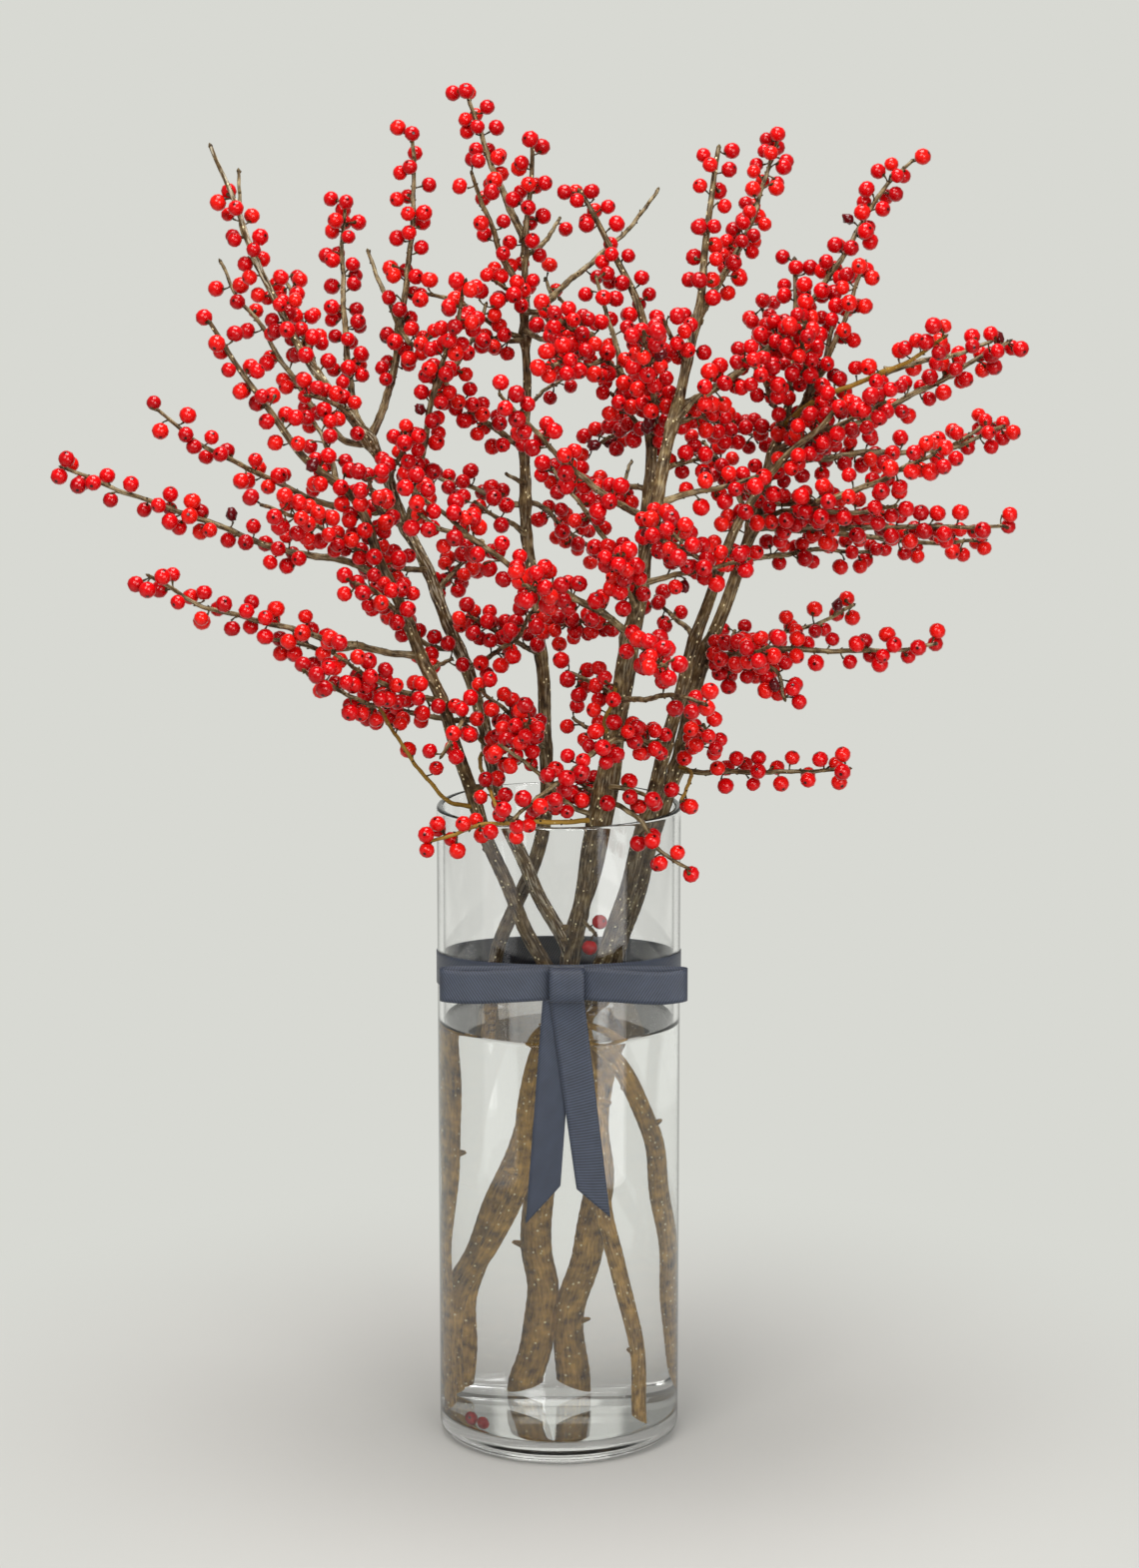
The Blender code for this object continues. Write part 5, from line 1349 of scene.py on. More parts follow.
@dataclass(frozen=True)
class GlassFinish(WaterFinish):
    """Clear soda-lime glass, blown and drawn into a straight cylinder, then fire-polished.

    It is as clear and smooth as the water. The eye gets a colourless wall with thin dark edges, which are
    painted shade tinted in where the wall is seen edge-on, a slow waviness in its reflections, and a rim
    that the painted shade leaves out, so that it stays light.
    """

    name: str = "clear glass"
    tint: str = "FFFFFF"
    # The colour of the painted shade on the wall's edges, tinted in where the wall is seen edge-on.
    edge: str = "1C211F"
    painted_edge_from: float = 0.76
    painted_edge_to: float = 0.88
    rim_from_m: float = 0.392
    rim_to_m: float = 0.397
    ior: float = 1.5
    wave_mm: float = 60.0
    wave: float = 0.1
    wave_m: float = 0.002

    def surface(self, tree: bpy.types.NodeTree) -> dict[str, Any]:
        """Paint dark shade on the wall's edges, where it is seen edge-on, over what a clear body has.

        Args:
            tree: The material's tree.

        Returns:
            A value, node or socket for each input.
        """
        add = partial(add_node, tree)
        # Painted shade: the tint darkens where the wall is seen edge-on, except at the rim.
        facing = add("ShaderNodeLayerWeight", {"Blend": 0.5}).outputs["Facing"]
        grazing = add(
            "ShaderNodeMapRange", {"Value": facing, "From Min": self.painted_edge_from, "From Max": self.painted_edge_to},
            interpolation_type="SMOOTHSTEP",
        )
        place = add("ShaderNodeTexCoord").outputs["Object"]
        wall = add(
            "ShaderNodeMapRange",
            {"Value": add("ShaderNodeSeparateXYZ", {"Vector": place}).outputs["Z"],
             "From Min": self.rim_from_m, "From Max": self.rim_to_m, "To Min": 1.0, "To Max": 0.0},
        )
        painted_edge_share = add("ShaderNodeMath", {"Value": grazing, "Value_001": wall}, operation="MULTIPLY")
        tint_with_painted_edges = add(
            "ShaderNodeMix", {"Factor_Float": painted_edge_share, "A_Color": self.tint, "B_Color": self.edge},
            data_type="RGBA",
        )
        return {**super().surface(tree), "Base Color": tint_with_painted_edges}


@dataclass(frozen=True)
class RibbonFinish(Finish):
    """Woven polyester twill ribbon, dyed a dark slate blue.

    Its fine yarns run in steep diagonal ribs, drawn here about 1.5 mm apart so that they show. The eye
    gets a satin that is lighter where it turns to the light, with a firm woven edge.
    """

    name: str = "twill ribbon"
    dark: str = "0A0D13"
    light: str = "3D4659"
    dyed_at: tuple[float, float] = (0.2, 0.85)
    rib_mm: float = 1.5
    rib_turn: float = math.radians(-32.0)
    yarn_mm: float = 0.7
    yarn_share: float = 0.35
    cloud_scale: float = 90.0
    cloud_share: float = 0.25
    relief: float = 0.8
    relief_m: float = 0.00025
    roughness: float = 0.5
    sheen: float = 0.12
    sheen_roughness: float = 0.4

    def surface(self, tree: bpy.types.NodeTree) -> dict[str, Any]:
        """Work out the shader's inputs from the UV map called weave, in metres along and across.

        Args:
            tree: The material's tree.

        Returns:
            A value, node or socket for each input.
        """
        add = partial(add_node, tree)
        place = add("ShaderNodeUVMap", uv_map="weave")
        turned_place = add("ShaderNodeMapping", {"Vector": place, "Rotation": (0.0, 0.0, self.rib_turn)})
        ribs, yarns = (
            add(
                "ShaderNodeTexWave", {"Vector": way, "Scale": WAVE_TEXTURE_MM / gap, "Distortion": 0.0},
                bands_direction=bands,
            ).outputs["Fac"]
            for way, gap, bands in ((turned_place, self.rib_mm, "X"), (place, self.yarn_mm, "Y"))
        )
        woven = add(
            "ShaderNodeMix", {"Factor_Float": self.yarn_share, "A_Float": ribs, "B_Float": yarns},
            data_type="FLOAT",
        )
        cloud = add("ShaderNodeTexNoise", {"Vector": place, "Scale": self.cloud_scale, "Detail": 3.0})
        shade = add(
            "ShaderNodeMix", {"Factor_Float": self.cloud_share, "A_Float": woven, "B_Float": cloud},
            data_type="FLOAT",
        )
        return {
            "Base Color": add(
                "ShaderNodeValToRGB", {"Fac": shade}, tuple(zip(self.dyed_at, (self.dark, self.light)))
            ),
            "Normal": add(
                "ShaderNodeBump", {"Height": woven, "Strength": self.relief, "Distance": self.relief_m}
            ),
            "Roughness": self.roughness,
            "Sheen Weight": self.sheen,
            "Sheen Roughness": self.sheen_roughness,
        }


@dataclass(frozen=True)
class BackdropFinish(Finish):
    """Matt seamless studio paper, pale grey with a breath of green.

    Far from the vase it glows evenly by itself, a painted light, so that no shadow or horizon shows there.
    Near the vase it takes the studio's light, and turns a little warmer. Out at the sides and in front its
    glow is painted lower, a painted shade that draws the thin dark edges of the glass.
    """

    name: str = "backdrop paper"
    tint: str = "D8D9D3"
    near_tint: str = "979592"
    near_glow: float = 0.16
    # The share of its glow that the paper keeps at the sides and in front, a painted shade.
    side_glow: float = 0.42
    near_m: float = 0.14
    far_m: float = 0.54
    side_m: float = 1.15
    dim_m: float = 1.5
    front_m: float = 0.4
    dark_m: float = 1.3

    def surface(self, tree: bpy.types.NodeTree) -> dict[str, Any]:
        """Work out where the paper takes the light and where it glows by itself.

        Args:
            tree: The material's tree.

        Returns:
            A value, node or socket for each input.
        """
        add = partial(add_node, tree)
        place = add("ShaderNodeTexCoord").outputs["Object"]
        away = add("ShaderNodeVectorMath", {"Vector": place}, operation="LENGTH")
        far = add(
            "ShaderNodeMapRange", {"Value": away, "From Min": self.near_m, "From Max": self.far_m},
            interpolation_type="SMOOTHSTEP",
        )
        glow = add("ShaderNodeMapRange", {"Value": far, "To Min": self.near_glow, "To Max": 1.0})
        axes = add("ShaderNodeSeparateXYZ", {"Vector": place}).outputs
        across = add("ShaderNodeMath", {"Value": axes["X"]}, operation="ABSOLUTE")
        # Painted shade: the glow is lowered out at the sides and in front, and the glass reflects it as dark
        # edges.
        dimmed_at_sides, dimmed_in_front = (
            add(
                "ShaderNodeMapRange",
                {"Value": way, "From Min": low, "From Max": high, "To Min": first, "To Max": last},
                interpolation_type="SMOOTHSTEP",
            )
            for way, low, high, first, last in (
                (across, self.side_m, self.dim_m, 1.0, self.side_glow),
                (axes["Y"], -self.dark_m, -self.front_m, self.side_glow, 1.0),
            )
        )
        both = add("ShaderNodeMath", {"Value": dimmed_at_sides, "Value_001": dimmed_in_front}, operation="MINIMUM")
        return {
            "Base Color": add(
                "ShaderNodeMix", {"Factor_Float": far, "A_Color": self.near_tint, "B_Color": "000000"},
                data_type="RGBA",
            ),
            "Emission Color": self.tint,
            "Emission Strength": add(
                "ShaderNodeMath", {"Value": glow, "Value_001": both}, operation="MULTIPLY"
            ),
            "Roughness": 1.0,
            "Specular IOR Level": 0.0,
        }


@dataclass(frozen=True)
class Run:
    """One tube to be: its places in millimetres, its radius at each, and how its bark differs."""

    points: np.ndarray
    radii: np.ndarray
    golden: float = 0.0
    silver: float = 0.0


@dataclass(frozen=True)
class Berry:
    """One berry: its centre, the way from its stalk to its blossom end, its radius and its looks."""

    centre: np.ndarray
    way: np.ndarray
    radius: float
    root: np.ndarray
    tone: float
    dried: float


@dataclass
class Woodworker:
    """Turns runs into wood, with every tube of a piece in one mesh."""

    recipe: WoodRecipe

    def build(
        self, name: str, runs: Sequence[Run], finish: bpy.types.Material, sides: int, relief: float,
        relief_mm: float,
    ) -> bpy.types.Object:
        """Make one piece from its runs.

        Args:
            name: The piece's name.
            runs: The tubes' centre lines.
            finish: Their material.
            sides: How many faces go round a tube.
            relief: How high the bark's unevenness is, as a share of the girth.
            relief_mm: How long a swelling is.

        Returns:
            The piece, as a plain mesh.
        """
        mesh = bpy.data.meshes.new(name)
        points = np.concatenate([run.points for run in runs]) * MM
        edges: list[tuple[int, int]] = []
        first = 0
        for run in runs:
            edges += [(first + step, first + step + 1) for step in range(len(run.points) - 1)]
            first += len(run.points)
        mesh.from_pydata([tuple(point) for point in points], edges, [])
        draw = random.Random(name)
        seats = [draw.uniform(0.0, 9.0) for _ in runs]
        write_attribute(mesh, "girth", np.concatenate([run.radii for run in runs]) * MM)
        write_attribute(mesh, "along", np.concatenate([along(run.points) for run in runs]) * MM)
        for title, values in (
            ("seat", seats),
            ("golden", [run.golden for run in runs]),
            ("silver", [run.silver for run in runs]),
        ):
            write_attribute(
                mesh, title, np.concatenate([np.full(len(run.points), v) for run, v in zip(runs, values)])
            )
        piece = placed(name, mesh)
        self.recipe.bake(
            piece, sides=sides, relief=relief, relief_scale=1000.0 / relief_mm, material=finish
        )
        return piece


@dataclass
class Orchard:
    """Finds a place for every berry: a few at each leaf scar, clear of wood, glass and one another."""

    limbs: dict[str, Limb]
    scar_gap: float = 7.5
    scar_gap_spread: tuple[float, float] = (0.8, 1.25)
    tip_bare: float = 1.5
    root_bare: float = 10.0
    stem_crowd: float = 1.9
    pale_stem_end: float = 0.965
    radius: tuple[float, float] = (4.5, 5.35)
    stalk: tuple[float, float] = (1.8, 3.8)
    stalk_seat: float = 0.7
    turn_spread: float = 0.3
    spread: float = math.radians(52.0)
    single_spread: float = 0.4
    tilt: tuple[float, float] = (math.radians(0.0), math.radians(38.0))
    skew: float = 0.35
    overlap: float = 0.96
    wood_room: float = 0.3
    own_wood_sink: float = 0.9
    glass_room: float = 0.4
    tries: int = 7
    dried_share: float = 0.012
    bud_share: float = 0.55
    bud_start: float = 0.08
    bud_length: tuple[float, float] = (1.3, 2.0)
    bud_width: float = 0.75
    tip_bud_length: float = 3.0
    vase_radius: float = 75.0
    vase_wall: float = 3.8
    vase_height: float = 400.0
    berries: dict[str, list[Berry]] = field(default_factory=dict, init=False)
    buds: dict[str, list[Run]] = field(default_factory=dict, init=False)
    centres: list[np.ndarray] = field(default_factory=list, init=False)
    sizes: list[float] = field(default_factory=list, init=False)
    wood: np.ndarray = field(init=False)
    girths: np.ndarray = field(init=False)
    owner: np.ndarray = field(init=False)
    starts: dict[str, float] = field(init=False)

    def __post_init__(self) -> None:
        """Gather the wood that berries keep clear of."""
        self.wood = np.concatenate([limb.points for limb in self.limbs.values()])
        self.girths = np.concatenate([limb.radii for limb in self.limbs.values()])
        names = list(self.limbs)
        self.owner = np.concatenate(
            [np.full(len(limb.points), names.index(name)) for name, limb in self.limbs.items()]
        )
        self.starts = {stem.name: stem.fruit for stem in STEMS}

    def clear(self, centre: np.ndarray, radius: float, owner: int) -> bool:
        """Tell whether a berry has room.

        Args:
            centre: The berry's centre, in millimetres.
            radius: Its radius.
            owner: The index of the limb that bears it.

        Returns:
            True where it touches nothing but its neighbours' skins.
        """
        across = math.hypot(centre[0], centre[1])
        if centre[2] < self.vase_height + radius + self.glass_room:
            inside = across + radius + self.glass_room < self.vase_radius - self.vase_wall
            if not inside and across - radius - self.glass_room < self.vase_radius:
                return False
        room = np.linalg.norm(self.wood - centre, axis=1) - self.girths - radius
        if (room[self.owner != owner] < self.wood_room).any():
            return False
        if (room[self.owner == owner] < -self.own_wood_sink).any():
            return False
        if self.centres:
            apart = np.linalg.norm(np.array(self.centres) - centre, axis=1)
            if (apart < self.overlap * (np.array(self.sizes) + radius)).any():
                return False
        return True

    def bear(self, limb: Limb) -> None:
        """Set berries and buds on one limb, from its tip to its root.

        Args:
            limb: The limb that bears them.
        """
        draw = random.Random("fruit " + limb.name)
        habit = FRUITING.get(limb.name, Fruiting())
        if limb.is_stem:
            end = self.pale_stem_end if limb.name == PALE_STEM else 1.0
            habit = Fruiting(self.starts[limb.name], end, self.stem_crowd)
        owner = list(self.limbs).index(limb.name)
        berries = self.berries.setdefault(limb.stem, [])
        buds = self.buds.setdefault(limb.stem, [])
        whole = limb.far[-1]
        turn = draw.uniform(0.0, 2.0 * math.pi)
        spot = whole - self.tip_bare
        while spot > self.root_bare:
            place, way, girth = limb.place(spot)
            side = np.array(Vector(way).orthogonal().normalized())
            other = np.cross(way, side)
            turn += GOLDEN_TURN + draw.uniform(-self.turn_spread, self.turn_spread)
            share = spot / whole
            bearing = habit.start <= share <= habit.end
            wanted = int(habit.crowd + draw.random()) if bearing else 0
            for _ in range(wanted):
                for _ in range(self.tries):
                    radius = draw.uniform(*self.radius)
                    sway = draw.uniform(-1.0, 1.0) * self.spread
                    angle = turn + sway * (1.0 if wanted > 1 else self.single_spread)
                    lean = draw.uniform(*self.tilt)
                    outward = (side * math.cos(angle) + other * math.sin(angle)) * math.cos(lean)
                    outward = outward + way * math.sin(lean)
                    reach = girth + draw.uniform(*self.stalk) + radius
                    centre = place + outward * reach
                    if not self.clear(centre, radius, owner):
                        continue
                    facing = outward + np.array([draw.gauss(0.0, self.skew) for _ in range(3)])
                    berries.append(Berry(
                        centre, facing / np.linalg.norm(facing), radius,
                        place + outward * girth * self.stalk_seat, draw.random(),
                        1.0 if draw.random() < self.dried_share else 0.0,
                    ))
                    self.centres.append(centre)
                    self.sizes.append(radius)
                    break
            if draw.random() < self.bud_share and share > self.bud_start and not limb.is_stem:
                angle = turn + math.pi * draw.uniform(0.6, 1.4)
                outward = (side * math.cos(angle) + other * math.sin(angle)) * 0.75 + way * 0.66
                length = draw.uniform(*self.bud_length)
                buds.append(self.bud(place + outward * girth * 0.8, outward, length, self.bud_width))
            spot -= self.scar_gap * draw.uniform(*self.scar_gap_spread)
        tip, way, girth = limb.place(whole)
        width = max(girth * 1.15, 1.0)
        buds.append(self.bud(limb.points[-1] - way * 0.4, way, self.tip_bud_length, width))

    def bud(self, root: np.ndarray, way: np.ndarray, length: float, width: float) -> Run:
        """Shape one bud: a small cone with a full middle.

        Args:
            root: Where it leaves the wood.
            way: The way that it points.
            length: Its length.
            width: Its radius at the widest.

        Returns:
            The bud's run.
        """
        shares = np.array([0.0, 0.3, 0.65, 1.0])
        points = root + np.outer(shares * length, way)
        return Run(points, np.array([0.85, 1.0, 0.66, 0.12]) * width)

    def fill(self) -> None:
        """Set the berries and buds of every limb."""
        for limb in self.limbs.values():
            self.bear(limb)


@dataclass
class BerryMaker:
    """Turns berries into a mesh, and their stalks into runs."""

    recipe: BerryRecipe
    segments: int = 10
    rings: int = 6
    dent: float = 0.07
    wrinkle: float = 0.004
    shrinking: float = 0.25
    girth_spread: tuple[float, float] = (0.97, 1.03)
    length_spread: tuple[float, float] = (0.94, 1.0)
    stalk_width: float = 0.5
    stalk_girth: tuple[float, float, float] = (1.25, 0.9, 1.5)
    stalk_bend: float = 0.12
    stalk_end: float = 0.93

    def build(self, name: str, berries: Sequence[Berry], finish: bpy.types.Material) -> bpy.types.Object:
        """Make one piece from its berries.

        Args:
            name: The piece's name.
            berries: Where they hang.
            finish: Their material.

        Returns:
            The piece, as a plain mesh.
        """
        draw = random.Random(name)
        mesh = bpy.data.meshes.new(name)
        mesh.from_pydata([tuple(berry.centre * MM) for berry in berries], [], [])
        shapes = []
        for berry in berries:
            squash = 1.0 - self.shrinking * berry.dried
            shapes.append([
                berry.radius * MM * squash * draw.uniform(*self.girth_spread),
                berry.radius * MM * draw.uniform(*self.girth_spread),
                berry.radius * MM * draw.uniform(*self.length_spread),
            ])
        write_attribute(mesh, "way", [berry.way for berry in berries], Kind.VECTOR)
        write_attribute(mesh, "shape", shapes, Kind.VECTOR)
        for title in ("tone", "dried"):
            write_attribute(mesh, title, [getattr(berry, title) for berry in berries])
        piece = placed(name, mesh)
        self.recipe.bake(
            piece, segments=self.segments, rings=self.rings, dent=self.dent, wrinkle=self.wrinkle,
            material=finish,
        )
        return piece

    def stalk(self, berry: Berry) -> Run:
        """Draw the short bent stalk from the wood to a berry.

        Args:
            berry: The berry that hangs on it.

        Returns:
            The stalk's run.
        """
        end = berry.centre - berry.way * berry.radius * self.stalk_end
        middle = (berry.root + end) / 2.0 + (end - berry.centre) * self.stalk_bend
        points = np.array([berry.root, middle, end])
        return Run(points, np.array(self.stalk_girth) * self.stalk_width)


@dataclass
class Branch:
    """One branch: a cut stem in the water, its shoots, and the berries, stalks and buds on them."""

    stem: Stem
    limbs: dict[str, Limb]
    berries: list[Berry]
    buds: list[Run]
    stem_sides: int = 20
    shoot_sides: int = 8
    stalk_sides: int = 5
    bud_sides: int = 6
    wood_relief: float = 0.16
    stem_swelling_mm: float = 30.0
    shoot_swelling_mm: float = 7.0
    fine_relief: float = 0.1
    fine_swelling_mm: float = 1.0
    cut_lean: float = 38.0
    lowest: float = 14.45
    silver: float = 0.25
    spur_girth: tuple[float, ...] = (3.2, 2.0, 1.5, 0.9)

    def cut_foot(self, piece: bpy.types.Object) -> None:
        """Cut the stem's foot at a slant, with its lowest point just clear of the vase's floor.

        Args:
            piece: The stem's wood, whose cut face gets the attribute cut.
        """
        limb = self.limbs[self.stem.name]
        up = limb.points[6] - limb.points[2]
        up = up / np.linalg.norm(up)
        side = np.cross(up, (0.0, 1.0, 0.0))
        side = side / np.linalg.norm(side)
        if self.stem.foot[0] > 0.0:
            side = -side
        lean = math.radians(self.cut_lean)
        facing = -up * math.cos(lean) - side * math.sin(lean)
        other = np.cross(up, side)
        girth = float(limb.radii[2]) * 1.03
        drop = min(
            -girth * (math.cos(turn) * side @ facing + math.sin(turn) * other @ facing)
            / (up @ facing) * up[2]
            + girth * (math.cos(turn) * side[2] + math.sin(turn) * other[2])
            for turn in np.linspace(0.0, 2.0 * math.pi, 48)
        )
        start = limb.points[0]
        centre = start + up * ((self.lowest - drop - start[2]) / up[2])
        builder = bmesh.new()
        builder.from_mesh(piece.data)
        layer = builder.faces.layers.float.new("cut")
        bmesh.ops.bisect_plane(
            builder, geom=[*builder.verts, *builder.edges, *builder.faces], dist=1e-7,
            plane_co=Vector(centre * MM), plane_no=Vector(facing), clear_outer=True,
        )
        rim = [edge for edge in builder.edges if edge.is_boundary]
        made = bmesh.ops.holes_fill(builder, edges=rim, sides=0)
        for face in made["faces"]:
            face[layer] = 1.0
            face.smooth = False
        bmesh.ops.recalc_face_normals(builder, faces=builder.faces)
        builder.to_mesh(piece.data)
        builder.free()
        piece.data.set_sharp_from_angle(angle=math.radians(50.0))

    def runs(self, main: bool) -> list[Run]:
        """Give the runs of the main stem, or of the shoots.

        Args:
            main: Whether the main stem is asked for.

        Returns:
            The runs, with the colour of their bark.
        """
        return [
            Run(
                limb.points, limb.radii,
                1.0 if limb.name in GOLDEN_LIMBS else 0.0,
                1.0 if limb.name == PALE_STEM else self.silver,
            )
            for limb in self.limbs.values() if limb.stem == self.stem.name and limb.is_stem == main
        ]

    def spurs(self) -> list[Run]:
        """Give the pointed stubs on the main stem.

        Returns:
            A run for each stub.
        """
        limb = self.limbs[self.stem.name]
        runs = []
        for owner, height, turn, length in SPURS:
            if owner != self.stem.name:
                continue
            index = int(np.argmin(np.abs(limb.points[:, 2] - height)))
            angle = math.radians(turn)
            out = np.array([math.cos(angle), -math.sin(angle), 0.45])
            root = limb.points[index] + out * limb.radii[index] * 0.5
            points = root + np.outer((0.0, 0.5, 0.8, 1.0), out) * (length * 0.7 + limb.radii[index] * 0.4)
            runs.append(Run(points, np.array(self.spur_girth) * (0.5 + length * 0.12)))
        return runs

    def build(
        self,
        wood: Woodworker,
        fruit: BerryMaker,
        finishes: dict[str, bpy.types.Material],
    ) -> list[bpy.types.Object]:
        """Build the branch's pieces and join them to the frame.

        Args:
            wood: What makes the wood.
            fruit: What makes the berries.
            finishes: The materials bark, twig, stalk and berry.

        Returns:
            The pieces: stem, shoots, stalks, buds and berries.
        """
        name = self.stem.name
        stem = wood.build(
            f"stem_{name}", self.runs(True) + self.spurs(), finishes["bark"],
            self.stem_sides, self.wood_relief, self.stem_swelling_mm,
        )
        self.cut_foot(stem)
        shoots = wood.build(
            f"shoots_{name}", self.runs(False), finishes["twig"],
            self.shoot_sides, self.wood_relief, self.shoot_swelling_mm,
        )
        stalks = wood.build(
            f"stalks_{name}", [fruit.stalk(berry) for berry in self.berries], finishes["stalk"],
            self.stalk_sides, self.fine_relief, self.fine_swelling_mm,
        )
        buds = wood.build(
            f"buds_{name}", self.buds, finishes["stalk"],
            self.bud_sides, self.fine_relief, self.fine_swelling_mm,
        )
        berries = fruit.build(f"berries_{name}", self.berries, finishes["berry"])
        pieces = [stem, shoots, stalks, buds, berries]
        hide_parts(f"branch_{name}")
        for piece in pieces:
            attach(piece, "root")
        return pieces


@dataclass
class Vase:
    """The vase: a tall straight cylinder of clear glass on a thick floor."""

    radius: float = 75.0
    height: float = 400.0
    wall: float = 3.8
    floor: float = 14.0
    foot_round: float = 8.0
    rim_round: float = 1.7
    inner_round: float = 3.0
    push_up: float = 0.5
    sides: int = 128

    def profile(self) -> list[tuple[float, float]]:
        """Draw the section of the glass.

        Returns:
            (radius, height) points from the middle of the underside to the middle of the floor inside.
        """
        inside = self.radius - self.wall
        foot = self.radius - self.foot_round
        points = [(0.0, self.push_up), (foot * 0.5, self.push_up), (foot - 6.0, self.push_up)]
        points += [(foot - 3.0, self.push_up * 0.55), (foot - 1.0, 0.05)]
        points += rounded((foot, self.foot_round), self.foot_round, -90.0, 0.0, 10)
        points += [(self.radius, self.foot_round + 1.0), (self.radius, self.height / 2.0)]
        rim_in = inside + self.rim_round
        points += [(self.radius, self.height - self.rim_round - 0.6)]
        points += rounded(
            (self.radius - self.rim_round, self.height - self.rim_round), self.rim_round, 0.0, 90.0, 6
        )
        points += rounded((rim_in, self.height - self.rim_round), self.rim_round, 90.0, 180.0, 6)
        points += [(inside, self.height - self.rim_round - 0.6), (inside, self.height / 2.0)]
        points += [(inside, self.floor + self.inner_round + 0.8)]
        points += rounded(
            (inside - self.inner_round, self.floor + self.inner_round), self.inner_round, 0.0, -90.0, 7
        )
        points += [(inside - self.inner_round - 0.8, self.floor), (inside / 2.0, self.floor)]
        return [*points, (0.0, self.floor)]

    def build(self, finish: bpy.types.Material) -> bpy.types.Object:
        """Build the glass and join it to the frame.

        Args:
            finish: Its material.

        Returns:
            The glass.
        """
        piece = from_builder("vase_glass", turned(self.profile(), self.sides), finish)
        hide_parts("vase")
        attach(piece, "root")
        return piece


@dataclass
class Water:
    """The water: it wets the glass, and climbs a little at the wall and at each stem."""

    vase: Vase
    limbs: dict[str, Limb]
    level: float = 265.0
    wetting: float = 0.12
    climb: float = 2.2
    climb_reach: float = 1.6
    stem_climb: float = 1.3
    rings: int = 56
    sides: int = 128
    crossings: dict[str, tuple[np.ndarray, float]] = field(default_factory=dict, init=False)

    def surface_lift(self, x: float, y: float, height: float) -> float:
        """Say how much the top stands above its level at a place.

        Args:
            x: The place's x, in millimetres.
            y: Its y.
            height: Its height, below which only the top's points are lifted.

        Returns:
            The lift in millimetres, and 0 below the top.
        """
        if height < self.level - 0.01:
            return 0.0
        edge = self.vase.radius - self.vase.wall + self.wetting - math.hypot(x, y)
        lift = self.climb * math.exp(-max(edge, 0.0) / self.climb_reach)
        for stem in STEMS:
            centre, girth = self.crossings[stem.name]
            gap = max(math.hypot(x - centre[0], y - centre[1]) - girth, 0.0)
            lift += self.stem_climb * math.exp(-gap / self.climb_reach)
        return lift

    def build(self, finish: bpy.types.Material) -> bpy.types.Object:
        """Build the water and join it to the frame.

        Args:
            finish: Its material.

        Returns:
            The water.
        """
        for stem in STEMS:
            limb = self.limbs[stem.name]
            at = int(np.argmax(limb.points[:, 2] > self.level))
            self.crossings[stem.name] = (limb.points[at], float(limb.radii[at]))
        side = self.vase.radius - self.vase.wall + self.wetting
        bottom = self.vase.floor - self.wetting
        corner = self.vase.inner_round
        profile = [(0.0, bottom), (side / 2.0, bottom), (side - corner - 0.8, bottom)]
        profile += rounded((side - corner, bottom + corner), corner, -90.0, 0.0, 7)
        profile += [(side, bottom + corner + 0.8), (side, self.level / 2.0), (side, self.level - 1.0)]
        profile += [(side * ring / self.rings, self.level) for ring in range(self.rings, -1, -1)]
        piece = from_builder("water_body", turned(profile, self.sides, self.surface_lift), finish)
        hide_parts("water")
        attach(piece, "root")
        return piece


@dataclass
class Strip:
    """A length of ribbon: its centre points, half of its width as a vector at each, and its flat size."""

    centres: np.ndarray
    across: np.ndarray
    flat: tuple[float, float]
    columns: int = 9

    def build(self, name: str, thick: float, finish: bpy.types.Material) -> bpy.types.Object:
        """Weave the strip, with a UV map in metres along and across it.

        Args:
            name: The piece's name.
            thick: The ribbon's thickness in millimetres.
            finish: Its material.

        Returns:
            The strip as a piece, in metres.
        """
        far = along(self.centres)
        builder = bmesh.new()
        uv = builder.loops.layers.uv.new("weave")
        places: dict[bmesh.types.BMVert, tuple[float, float]] = {}
        rows = []
        for centre, across, distance in zip(self.centres, self.across, far):
            row = []
            for column in range(self.columns):
                share = 2.0 * column / (self.columns - 1) - 1.0
                vert = builder.verts.new(Vector(centre + across * share))
                places[vert] = (distance * MM, share * float(np.linalg.norm(across)) * MM)
                row.append(vert)
            rows.append(row)
        for low, high in zip(rows, rows[1:]):
            for column in range(self.columns - 1):
                face = builder.faces.new((low[column], low[column + 1], high[column + 1], high[column]))
                for loop in face.loops:
                    loop[uv].uv = places[loop.vert]
        mesh = bpy.data.meshes.new(name)
        bmesh.ops.transform(builder, matrix=Matrix.Scale(MM, 4), verts=builder.verts)
        for face in builder.faces:
            face.smooth = True
        builder.to_mesh(mesh)
        builder.free()
        mesh.materials.append(finish)
        piece = placed(name, mesh)
        wall = piece.modifiers.new("thickness", "SOLIDIFY")
        wall.thickness = thick * MM
        wall.offset = 0.0
        return piece


